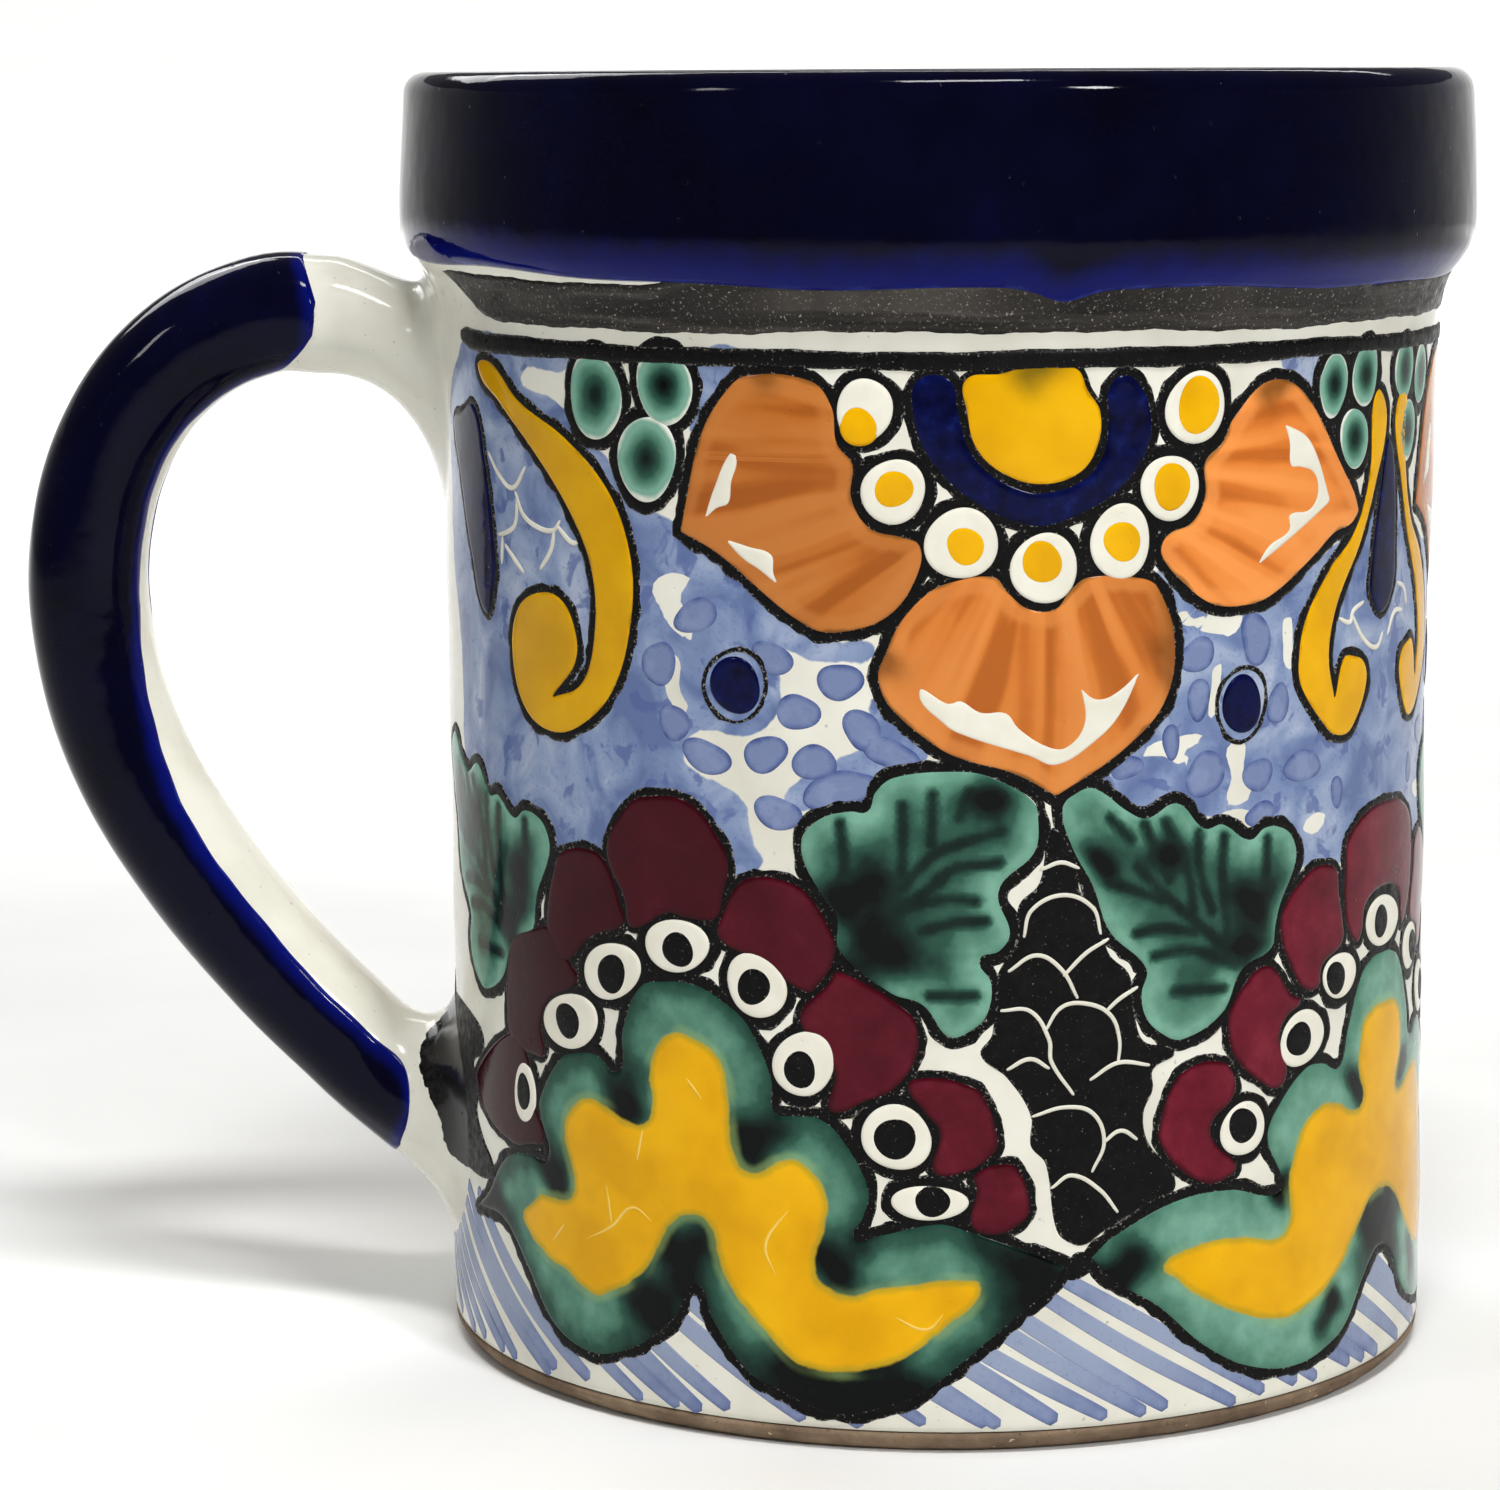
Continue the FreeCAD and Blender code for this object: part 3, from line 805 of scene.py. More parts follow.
def make_vessel(material):
    """The whole glazed vessel as one closed turned solid, from the foot up, over and down inside."""
    recess = np.array([(AXIS_R, RECESS_Z), (RECESS_R - 0.4, RECESS_Z), (RECESS_R, WALL_LOW_Z + 0.02)])
    heel = np.array([(WALL_BASE_R - 0.45, WALL_LOW_Z), (WALL_BASE_R - 0.1, WALL_LOW_Z + 0.15)])
    profile = np.vstack([recess, heel, OUTER[1:], inner_profile()])
    columns = 360
    angle = full_turn(columns)
    grid = turned_points(profile, angle)
    for ring in (grid[0], grid[-1]):
        ring[:, 0] *= AXIS_R / np.hypot(ring[:, 0], ring[:, 1])
        ring[:, 1] = -AXIS_R * np.cos(angle)
    faces = tube_faces(len(profile), columns)
    u = np.broadcast_to(angle[None] * UNROLL_R, grid.shape[:2])
    wash = wash_at(u, grid[..., 2])
    wash[: len(recess)] = -1
    wash[len(recess) + len(heel) + len(UNDER_LIP) :] = -1
    values = {"wash": wash.ravel(), "ink": np.full(wash.size, -1.0)}
    obj = make_object("glazed_vessel", grid.reshape(-1, 3), faces, values)
    nodes = ("clay_cup", "rim_collar", "outside_white_glaze", "inside_white_glaze", "underside_glaze")
    return finish_piece(obj, material, "white_glaze", *nodes)


def make_rim(material):
    """The cobalt coat over the collar and the lip, with hand-dipped edges outside and inside."""
    inner = inner_profile()
    path = np.vstack([OUTER, inner[: np.argmin(np.abs(inner[:, 1] - 99))]])
    run = distances(path)
    over = len(OUTER)
    columns, rows = 480, 72
    angle = full_turn(columns)
    outside, inside = collar_glaze_ends(angle)
    start = np.interp(outside, path[:over, 1], run[:over])
    stop = np.interp(-inside, -path[over:, 1], run[over:])
    share = np.linspace(0, 1, rows)
    share = 0.5 - 0.5 * np.sign(0.5 - share) * np.abs(1 - 2 * share) ** 0.8
    where = start[None] + (stop - start)[None] * share[:, None]
    r = np.interp(where, run, path[:, 0])
    z = np.interp(where, run, path[:, 1])
    slope = 0.05
    dr = np.interp(where + slope, run, path[:, 0]) - np.interp(where - slope, run, path[:, 0])
    dz = np.interp(where + slope, run, path[:, 1]) - np.interp(where - slope, run, path[:, 1])
    size = np.maximum(np.hypot(dr, dz), 1e-9)
    depth = np.minimum(where - start[None], stop[None] - where)
    body = r + throwing(angle[None], z)

    def coat(height):
        radius, tall = body + dz / size * height, z - dr / size * height
        return around(radius, angle, tall).reshape(-1, 3)

    points = np.vstack([coat(RIM_COAT * shoulder(depth, COBALT_ROUNDING)), coat(-BURIED)])
    faces = shell_faces(rows, columns, False, True)
    obj = make_object("rim_cobalt", points, faces, {"edge": np.tile(depth.ravel(), 2)})
    return finish_piece(obj, material, "cobalt_glaze", "rim_blue_glaze")


def make_foot(material):
    """The bare foot ring: trimmed, rubbed and a little chipped."""
    profile = np.array(
        [(RECESS_R, WALL_LOW_Z), (RECESS_R, 0.7), (RECESS_R + 0.5, 0.12), (RECESS_R + 1.2, 0.0)]
        + [(r, 0.0) for r in np.linspace(RECESS_R + 2, 40.2, 8)]
        + [(40.9, 0.06), (41.4, 0.35), (41.75, 0.8), (WALL_BASE_R - 0.1, 1.2)]
        + [(r, WALL_LOW_Z) for r in (WALL_BASE_R - 0.1, 40.0, 37.0)]
    )
    columns, rows = 480, len(profile)
    angle = full_turn(columns)
    wear = 0.10 * np.sin(5 * angle) * np.sin(11 * angle + 1) + 0.05 * np.sin(37 * angle) * np.sin(23 * angle)
    grid = turned_points(profile, angle)
    low_edge = ((profile[:, 1] > 0.01) & (profile[:, 1] < 1.1) & (profile[:, 0] > 40))[:, None]
    grid[..., :2] *= 1 + (wear[None] * low_edge / 42)[..., None]
    obj = make_object("foot_clay", grid.reshape(-1, 3), grid_faces(rows, columns, True, True, flip=True))
    return finish_piece(obj, material, "bare_clay", "foot_ring")


# ---------------------------------------------------------------- the handle

# The handle's centre line in the XZ plane, from the top joint to the bottom one, as in the CAD
HANDLE_PATH = [
    (-52.0, 87.6), (-57.5, 87.5), (-64.8, 84.1), (-70.2, 77.6), (-73.1, 68.3), (-73.0, 59.2),
    (-70.2, 49.6), (-64.6, 39.6), (-57.6, 31.0), (-50.8, 24.0),
]
HANDLE_HALF_WIDTH, HANDLE_HALF_THICK = 6.0, 5.0
RING = 96  # points round the handle
SUNK = 1.2  # how far the handle's ends run into the wall
STRIPE_END = 6.0  # length of the stripe's rounded ends
STRIPE_START_X, STRIPE_STOP_Z = -52.3, 14.6  # its two tips, on the outer side of the handle
# Each joint's footprint on the unrolled wall: centre height, half width, half height up and down
UPPER_FOOTPRINT = (82.0, 13.0, 10.6, 12.0)
LOWER_FOOTPRINT = (19.0, 17.5, 11.5, 12.5)


def handle_tube():
    """The handle's rings between the joints, with the direction of travel of its two ends."""
    line = smooth(HANDLE_PATH, closed=False, step=0.8)
    ahead = np.gradient(line, axis=0)
    ahead /= np.hypot(*ahead.T)[:, None]
    out = np.stack([ahead[:, 1], -ahead[:, 0]], 1)
    phi = full_turn(RING)
    s = np.linspace(0, 1, len(line))[:, None]
    squash = 1 + waves(s, (0.012, 9, 2), (0.010, 23, phi))
    # A pulled strap is slightly squared in section.
    c, d = np.cos(phi)[None], np.sin(phi)[None]
    square = (np.abs(c) ** 2.3 + np.abs(d) ** 2.3) ** (-1 / 2.3)
    thick, wide = HANDLE_HALF_THICK * c * square * squash, HANDLE_HALF_WIDTH * d * square * squash
    x = line[:, :1] + out[:, :1] * thick
    z = line[:, 1:] + out[:, 1:] * thick
    rings = np.stack([x, HANDLE_MID_Y + wide + 0 * x, z], -1)
    return rings, ahead


def joint_rings(ring, direction, footprint):
    """Rings that flare from a ring of the handle onto the wall, meeting both smoothly."""
    mid_z, half_u, up, down = footprint
    centre = ring.mean(0)
    side, rise = ring[:, 1] - centre[1], ring[:, 2] - centre[2]
    phi = np.arctan2(rise / np.abs(rise).max(), side / np.abs(side).max())
    reach = np.where(np.sin(phi) > 0, up, down) * np.sin(phi)
    u = HANDLE_U - half_u * np.cos(phi) * (1 + 0.03 * np.sin(3 * phi + 1))
    z = mid_z + reach * (1 + 0.03 * np.sin(2 * phi + 0.5))
    land = on_wall(u, z, -0.05)
    inward = on_wall(HANDLE_U - 0.55 * half_u * np.cos(phi), mid_z + 0.55 * reach, 0.25)
    gap = np.linalg.norm(land - ring, axis=1)[:, None]
    heading = np.array([direction[0], 0, direction[1]])
    first = ring + heading * gap * 0.42
    t = np.linspace(0, 1, 22)[1:, None, None]
    start, end = (1 - t) ** 3 * ring + 3 * (1 - t) ** 2 * t * first, 3 * (1 - t) * t**2 * inward + t**3 * land
    return start + end


def handle_surface():
    """Every ring of the handle, from the upper joint's edge on the wall to the lower one's."""
    tube, ahead = handle_tube()
    upper = joint_rings(tube[0], -ahead[0], UPPER_FOOTPRINT)[::-1]
    lower = joint_rings(tube[-1], ahead[-1], LOWER_FOOTPRINT)
    return np.concatenate([upper, tube, lower])


def make_handle(material):
    """The white-glazed handle and its joints as one closed solid that runs a little into the wall."""
    rings = handle_surface()
    sunk = rings[[0, -1]]
    sunk[..., :2] *= 1 - SUNK / np.hypot(sunk[..., 0], sunk[..., 1])[..., None]
    rings = np.concatenate([sunk[:1], rings, sunk[1:]])
    faces = tube_faces(len(rings), RING, flip=True)
    points = rings.reshape(-1, 3)
    ink = share_of(points[:, 0], points[:, 2], smooth(SPLASH), 0.7)
    ink[points[:, 1] > 0] = -1
    values = {"wash": np.full(len(points), -1.0), "ink": ink}
    obj = make_object("handle_white", points, faces, values)
    nodes = ("handle", "upper_handle_joint", "lower_handle_joint")
    nodes += ("upper_joint_glaze", "lower_joint_glaze", "handle_white_glaze")
    return finish_piece(obj, material, "white_glaze", *nodes)


def stripe_reach(z):
    """How far round from the outer side the cobalt stripe runs, in degrees, at a place on the handle."""
    return np.where(z > 62, 159, np.interp(z, [15, 36, 42, 47, 53, 62], [118, 122, 127, 133, 142, 159]))


def make_stripe(material):
    """The cobalt stripe on the handle's outer side, with two rounded ends."""
    rings = handle_surface()
    middle = rings[:, 0]
    run = distances(middle)
    first = run[np.argmin(np.abs(middle[:, 0] - STRIPE_START_X) + 9 * (middle[:, 2] < 60))]
    last = run[np.argmin(np.abs(middle[:, 2] - STRIPE_STOP_Z) + 9 * (middle[:, 2] > 60))]
    rows, columns = 300, 61
    where = np.linspace(first, last, rows)
    across = np.sin(np.linspace(-1, 1, columns) * math.pi / 2)
    reach = np.radians(stripe_reach(np.interp(where, run, middle[:, 2])))
    reach *= 1 + waves(where, (0.010, 0.30, 0), (0.003, 1.1, 1))
    to_end = np.minimum(where - first, last - where)
    reach = reach * np.clip(1 - (1 - np.clip(to_end / STRIPE_END, 0, 1)) ** 3, 1e-6, 1) ** (1 / 3)
    phi = reach[:, None] * across[None]
    place = (phi / (2 * math.pi) * RING) % RING
    a = np.floor(place).astype(int) % RING
    b = (a + 1) % RING
    f = (place - np.floor(place))[..., None]
    # The end near the rim bulges towards the wall on both sides of the handle.
    bulge = (0.25 + 1.15 * np.cos(1.8 * phi)) * np.exp(-(where - first) / 6.0)[:, None]
    spot = np.interp(where[:, None] + bulge, run, np.arange(len(run)))
    low = np.clip(np.floor(spot).astype(int), 0, len(rings) - 2)
    part = (spot - low)[..., None]
    before, after = (rings[k, a] * (1 - f) + rings[k, b] * f for k in (low, low + 1))
    surface = before * (1 - part) + after * part
    along = np.gradient(surface, axis=0)
    over = np.gradient(surface, axis=1)
    normal = np.cross(along, over)
    normal /= np.maximum(np.linalg.norm(normal, axis=2), 1e-9)[..., None]
    normal *= np.sign(((surface - rings.mean(1)[low]) * normal).sum(2))[..., None]
    depth = np.minimum((1 - np.abs(across))[None] * reach[:, None] * 5.5, to_end[:, None])
    top = surface + normal * (STRIPE_COAT * shoulder(depth, COBALT_ROUNDING))[..., None]
    points = np.vstack([top.reshape(-1, 3), (surface - normal * BURIED).reshape(-1, 3)])
    faces = shell_faces(rows, columns, False, False)
    obj = make_object("handle_stripe", points, faces, {"edge": np.tile(2.2 * depth.ravel(), 2)})
    return finish_piece(obj, material, "cobalt_glaze", "handle_blue_stripe")


# ---------------------------------------------------------------- painted motifs, in (u, z)

ORANGE_HEART_U = 8.5
ORANGE_LEFT = [
    (-14.7, 85.1), (-9.5, 84.8), (-7.8, 82.8), (-7.4, 80), (-6.2, 78.4), (-6.3, 75.8), (-5, 73.6),
    (-2.7, 72.9), (-1.1, 72.2), (-1.3, 69.8), (-3.3, 66.8), (-6.6, 65.4), (-9.8, 65.6), (-17.2, 71),
    (-20.7, 72.7, 1), (-18.8, 80), (-16.9, 83.3),
]
ORANGE_BOTTOM = [
    (-0.7, 68.5), (1.1, 69.4), (4.5, 69.8), (5.7, 68.5), (7.2, 67.3), (9.2, 67.2), (10.3, 68.5),
    (11.8, 69.6), (16.2, 69.4), (17.8, 68.5), (19.3, 64.2), (18.5, 59.5), (15.1, 55.9), (9.5, 52.4, 1),
    (6.1, 54.3), (2.6, 55.3), (0.3, 56.3), (-3.5, 59.5), (-4.5, 61.9), (-3.9, 63.8), (-2.8, 66.2),
]
ORANGE_RIGHT = [
    (17.8, 71.5), (18.5, 72.7), (20.5, 73.5), (21.6, 75.4), (21.6, 78.1), (23.2, 79.6), (24.3, 81.5),
    (27.8, 84.2), (31.6, 83.1), (36.6, 76.9), (38.5, 74.6), (39.3, 73.1, 1), (38.2, 72.1), (35.8, 71.5),
    (33.5, 70), (28.5, 67.1), (25.5, 66.5), (22.4, 66.9), (19.7, 68.8), (18.2, 70.4),
]
# Each petal's outline, its dark spots as (u, z, reach), and how dark it is all over, which is painted shade:
# deepest on the left petal, none on the right
ORANGE_PETALS = [
    (ORANGE_LEFT, [(-13.0, 85.8, 1.6)], 0.60),
    (ORANGE_BOTTOM, [(18.9, 60.8, 1.4), (19.4, 63.4, 1.7), (18.9, 66.2, 1.7), (-4.4, 62.5, 1.4)], 0.32),
    (ORANGE_RIGHT, [(28.6, 84.3, 1.8)], 0.0),
]
FLAMES = [
    [
        (-15.9, 79.3), (-15.4, 78.4), (-15.9, 76.8), (-16.2, 75.1), (-17.3, 74.6), (-18.6, 73.4, 1),
        (-17.6, 76.2),
    ],
    [
        (-16.9, 72.5, 1), (-14.6, 71.9), (-12.7, 71.3), (-12.5, 69.8), (-11.8, 68.4, 1), (-13.7, 69.9),
        (-15.3, 70.9),
    ],
    [
        (-1.3, 60.9), (1, 60), (2, 60.2), (3.5, 59.3), (5.5, 59.2), (6.5, 58), (8.6, 56.6), (10.2, 56.4),
        (11.6, 58.2), (11.2, 61.2, 1), (12.6, 60.1), (14.3, 60.6), (16.5, 62.5, 1), (14.7, 58.8),
        (12.8, 56.8), (9.5, 54.9), (7.2, 55.7), (2.6, 57.2), (0.7, 58.2),
    ],
    [
        (29.3, 80.8, 1), (32.4, 79.2), (35.1, 74.2, 1), (26.6, 69.4, 1), (28, 71.2), (30.1, 72.3),
        (30.1, 73.5), (32.4, 73.8), (33.3, 75), (32.8, 76.5), (31.2, 77.1), (30.1, 77.3), (29.9, 79.2),
    ],
]
YELLOW_HEART = [
    (2.2, 84.9), (2.3, 82.3), (3, 79.6), (4.9, 77.7), (8, 76.7), (11.1, 77.5), (12.6, 79.6), (12.8, 82.3),
    (11.8, 83.8), (10.9, 85.6), (8, 86.2), (5, 85.4),
]
NAVY_CUP = [
    (-1.4, 84.9), (-1.8, 82.3), (-1, 79.6), (0.7, 77.3), (3, 75.4), (5.7, 74), (8.4, 73.5), (12.6, 75),
    (15, 76.8), (16.6, 79), (17, 81.5), (16.2, 84), (14.6, 85.1), (13.3, 84), (13.3, 81.5), (12.9, 79),
    (11.3, 77.1), (8.4, 76.2), (6.5, 76.5), (4.2, 77.7), (2.6, 79.6), (1.8, 82.3), (1.1, 84.9),
]
# White bead: u, z, half width, half height; then its yellow pip in the same way
ORANGE_BEADS = [
    ((-5.4, 82.5, 2.15, 2.6), (-5.8, 81.3, 1.6, 1.6)),
    ((-3.2, 76.3, 2.5, 2.6), (-3.15, 76.5, 1.65, 1.65)),
    ((2.0, 72.3, 2.8, 2.9), (2.3, 72.1, 1.65, 1.65)),
    ((8.4, 70.3, 2.6, 2.9), (8.2, 70.8, 1.8, 1.8)),
    ((14.5, 72.2, 2.6, 2.9), (14.6, 72.2, 1.75, 1.75)),
    ((18.6, 76.2, 2.5, 2.7), (18.7, 76.3, 1.85, 2.0)),
    ((20.8, 82.3, 2.7, 2.9), (21.0, 82.5, 2.1, 2.4)),
]

LYRE_SCROLLS = [
    [
        (-44.9, 84.4), (-42.3, 85), (-38, 82.2), (-32, 79.5), (-27.5, 75.6), (-25.3, 70.5), (-25.3, 65.5),
        (-27.2, 60), (-30.5, 56.8), (-34.5, 55.6), (-38.6, 57.3), (-40.4, 61.5), (-39.3, 65.2), (-36, 66.9),
        (-33, 66.5), (-31.4, 64), (-31.6, 61.5), (-34.4, 58.6, 1), (-31, 60), (-29.4, 64), (-29.5, 68.8),
        (-31.8, 73.3), (-36, 77.9), (-41, 81.7),
    ],
    [
        (42, 82.7), (40.8, 81.5), (40.7, 76.5), (38.9, 71.9), (35.1, 68.5), (32.4, 65), (31.6, 61.8),
        (32, 59.5), (35.1, 56.1), (37, 55.1), (38.9, 55.5), (41, 58.8), (40.7, 60.7), (38.9, 61.5),
        (37.4, 61.4), (36.3, 58.4, 1), (35.5, 61.8), (36.6, 65.8), (39.7, 70.4), (41.8, 75), (43.5, 80),
    ],
]
LYRE_DROPS = [
    [
        (-51.9, 79.6), (-49.2, 80.6), (-45.8, 81.2), (-44.2, 76.9), (-42.8, 70), (-42.8, 67.3), (-45, 64.2),
        (-47.7, 68.8), (-50.4, 75),
    ],
    [
        (43.9, 78.7), (45.1, 77.3), (46.3, 68.1), (45.7, 65.8), (43.9, 64.4), (42.4, 65), (41.5, 66.9),
        (43.2, 77.9),
    ],
]
LYRE_NET = [
    [
        [(-43.5, 77.5), (-41.7, 75.8), (-39.6, 75), (-37.7, 76.7)],
        [(-39.2, 74.6), (-38.1, 72.9), (-35.8, 72), (-34, 72), (-33.3, 72.7)],
        [(-39, 74.2), (-39.4, 72.1), (-40.8, 71.3), (-42.1, 71)],
        [(-41.5, 70.8), (-41.7, 68.8)],
        [(-41, 70.2), (-39.6, 69.2), (-38.3, 68.3)],
        [(-34, 71.9), (-34.4, 70.4), (-35.8, 68.8)],
        [(-33.5, 72.3), (-31.9, 71.2), (-31, 71.2)],
    ],
    [
        [(37, 64.6), (38.5, 64.2), (38.9, 65), (40.5, 65.6)],
        [(38.9, 64.6), (40.5, 62.7), (42.8, 61.7), (43.9, 62.7)],
        [(47.2, 66.5), (48.6, 66.0), (49.4, 64.6)],
        [(45.0, 62.6), (46.4, 64.2), (48.2, 64.2)],
    ],
]
# Teal drops that hang from the lower band: u, z, half width, half height
TEAL_DROPS = [
    [(-28.6, 83.0, 2.9, 3.4), (-21.8, 84.0, 2.6, 3.1), (-23.6, 78.3, 2.9, 3.4)],
    [(35.2, 83.4, 1.8, 2.6), (39.5, 84.0, 2.0, 2.6), (38.2, 79, 2.1, 2.5)],
]
NAVY_DOTS = [(-16, 60.9, 2.2, 2.2), (25.7, 58.8, 2.0, 2.3)]
DABS = [
    [
        (-10.8, 59, 1.7, 1.5), (-13.5, 55.6, 1.8, 1.5), (-18.6, 55.1, 2.1, 1.4), (-9.5, 55.1, 1.7, 1.5),
        (-5.7, 57.8, 1.5, 1.6), (-12.5, 51, 1.9, 1.4), (-7.5, 53, 3, 1.5), (-3.5, 56, 2.2, 1.2),
        (-7.4, 61.5, 1.8, 1.5), (-12.8, 63.2, 1.8, 1.2), (-19.3, 66.2, 2.2, 1.2), (-22.8, 62.2, 1.5, 1.9),
        (-21.5, 57.6, 1.3, 1.6),
    ],
    [
        (21.3, 63, 1.6, 1.4), (27, 63.9, 1.6, 2), (22.3, 53.5, 1.8, 1.8), (27.5, 53, 1.5, 1.4),
        (21.5, 59.5, 1, 1.8), (19.1, 56.3, 0.8, 1.4), (15.3, 54.5, 1.3, 1), (37, 50.6, 0.9, 1.3),
        (29.5, 58.5, 1.1, 1.8), (32.5, 53.2, 2.2, 1.3), (27.8, 49.8, 1.6, 1.0),
    ],
]

WINE_PETALS_A = [
    [
        (-28.5, 46.8), (-26.5, 50.3), (-24.6, 51.5), (-20.2, 51.5), (-17.2, 48.4), (-16.6, 46.5),
        (-17, 44.5), (-17.8, 42.2), (-20.4, 42), (-22.3, 42.2), (-25.8, 40.7), (-26.7, 43),
    ],
    [
        (-34.6, 45.1), (-33.5, 46.1), (-31.2, 46.7), (-28.8, 46.1), (-26.9, 42.6), (-26.5, 40.9),
        (-30, 39.5), (-33.5, 36.8), (-35, 38), (-35.8, 39.9),
    ],
    [
        (-41.5, 36.8), (-39.5, 38.8), (-37.5, 39.2), (-35.2, 39.6), (-33, 37.5), (-31.8, 35.6),
        (-35.2, 33.6), (-36.6, 31.2), (-36.2, 28.8), (-38, 28.5), (-40.8, 28.8), (-42.3, 30.5),
    ],
    [
        (-49.6, 24.7, 1), (-45.4, 27.9), (-41.5, 29.8), (-40, 29.7), (-38.5, 28), (-37.5, 24.5),
        (-36.2, 21.8), (-38.5, 20.8), (-41.5, 20.4), (-47.3, 22.2),
    ],
    [
        (-16.2, 44.9), (-14.7, 45.9), (-12.4, 45.9), (-10.1, 44.9), (-7.8, 41.1), (-8, 39.2), (-8.9, 37.8),
        (-10.1, 36.8), (-14.3, 39.2), (-17.6, 40.7), (-17.2, 43),
    ],
    [
        (-7.6, 38.8), (-2, 35.7), (-1.2, 33.8), (-1.4, 31.8), (-3.2, 29.3), (-5.5, 28.3), (-7.4, 27.3),
        (-8.5, 27.7), (-8, 30.3), (-8.9, 32.2), (-10.8, 34.9), (-8.5, 37.7),
    ],
    [
        (-2.2, 29.8), (-0.5, 30.5), (1.8, 30.2), (3.8, 29.1), (5.1, 25.2), (4.6, 24.1), (2.5, 22.8),
        (-0.1, 22.8), (0.3, 26), (-0.8, 27.5),
    ],
    [(4.9, 23.5), (6.5, 23.2), (7.6, 19.8), (6.5, 18.3), (4.5, 17.7), (2.8, 18.6), (3.2, 21.4), (3, 22.6)],
]
# White bead: u, z, half width, half height, tilt; then its black pip in the same way
WINE_BEADS_A = [
    ((-39.1, 25.1, 1.85, 2.5, 0), (-39.2, 25.2, 1.15, 1.75, 0)),
    ((-32.8, 32.2, 3.4, 2.4, 15), (-33, 32.2, 1.7, 1.55, -15)),
    ((-27.9, 37, 3.1, 2.4, 20), (-27.8, 36.8, 1.65, 1.75, 0)),
    ((-21.4, 39.8, 3.05, 2.2, 0), (-21.2, 39.5, 1.6, 1.55, 0)),
    ((-14.3, 37.2, 2.7, 2.5, -35), (-14.5, 37.1, 1.55, 1.6, 0)),
    ((-10.4, 31.2, 2.4, 2.9, -30), (-10.7, 30.7, 1.5, 1.6, 0)),
    ((-3, 25.6, 2.8, 2.7, 0), (-3.1, 25.5, 1.75, 1.85, 0)),
    ((-0.4, 20.4, 3.0, 1.5, 0), (-0.15, 20.5, 1.6, 1.3, 0)),
]
GREEN_A = [
    (-49.2, 13.3, 1), (-46.2, 15.3), (-43.9, 17.9), (-41.6, 19.5), (-38.5, 20.1), (-35.8, 20.4),
    (-36.9, 23.7), (-36.9, 25.2), (-34.2, 28.9), (-31.9, 29.8), (-29.6, 29.9), (-27.3, 28.9), (-26.9, 32.2),
    (-25, 36.1), (-22.3, 36.9), (-19.6, 36.9), (-17, 35.7), (-15.1, 34.2), (-13, 29.9), (-12.8, 27.2),
    (-11.2, 27), (-9.3, 27), (-7.4, 25.6), (-5.1, 21.4), (-5.5, 19.1), (-6.2, 17.4), (-4.3, 17.8),
    (0.3, 18.8), (2.6, 18.2), (8, 16.2), (10.5, 15, 1), (8.8, 12.9), (4.2, 9.1), (-0.5, 5.2), (-2.8, 4.1),
    (-7.8, 3), (-12.8, 4.7), (-15.1, 5.8), (-18.3, 9.8), (-19.3, 12.2), (-20.4, 11.8), (-21.5, 9.5),
    (-25.8, 6.2), (-30.4, 5), (-35, 6.4), (-38.8, 10.2), (-41.9, 12.9), (-44.2, 13.7),
]
GREEN_HEART_A = [
    (-39.6, 14.5), (-38.1, 16), (-36.5, 17), (-34.6, 17), (-32.9, 17.5), (-32.3, 19.1), (-33.5, 22.5),
    (-33.1, 24.3), (-31.9, 25.6), (-30, 26.2), (-26.5, 25), (-24.6, 25), (-23.7, 26.8), (-24, 29),
    (-23.1, 31.8), (-21.2, 32.8), (-18, 31.5), (-17, 29.5), (-16.2, 23.3), (-14.7, 22), (-11.6, 23.5),
    (-10.1, 22.9), (-8.7, 21.4), (-8.5, 19.1), (-9.5, 14.8), (-8.5, 13.3), (-6.6, 12.7), (-4.7, 13.3),
    (1.1, 14.1), (3.6, 13.5), (0.7, 10.2), (-3.9, 7.2), (-9.7, 6.6), (-12, 7.9), (-17, 13.3), (-18.5, 17.7),
    (-20.5, 18), (-22.3, 16.8), (-24.6, 12.9), (-28.5, 10.4), (-30.4, 10), (-33.5, 11.4), (-35.8, 12),
]
# Raised ripple lines on the yellow heart, coloured pale as painted highlight where they catch the light
RIPPLE_HIGHLIGHTS_A = [
    [(-24.7, 24.5), (-25.3, 21.7)], [(-31, 14.4), (-28, 16), (-25.8, 17.9), (-23.7, 17)],
    [(-28, 16), (-28.6, 19.5)], [(-19, 27.5), (-20.6, 29.3)], [(-11.5, 19.5), (-13.5, 16.4), (-12.6, 13.8)],
    [(-3.2, 11.2), (-0.6, 10.2), (0.8, 11.6)], [(-35.2, 13.4), (-33.6, 15.2)],
]
# Where the green is nearly black: u, z, reach
GREEN_DARKS_A = [
    (-34.5, 19.3, 2.2), (-26.8, 26.4, 2.6), (-14.7, 24.9, 2.4), (-7.6, 15.5, 2.2), (-20.7, 14.8, 3.2),
    (7.5, 14.5, 3.5), (-46, 14.5, 3), (-10, 5.5, 4), (-4, 5, 4), (-23.5, 9.5, 3),
]

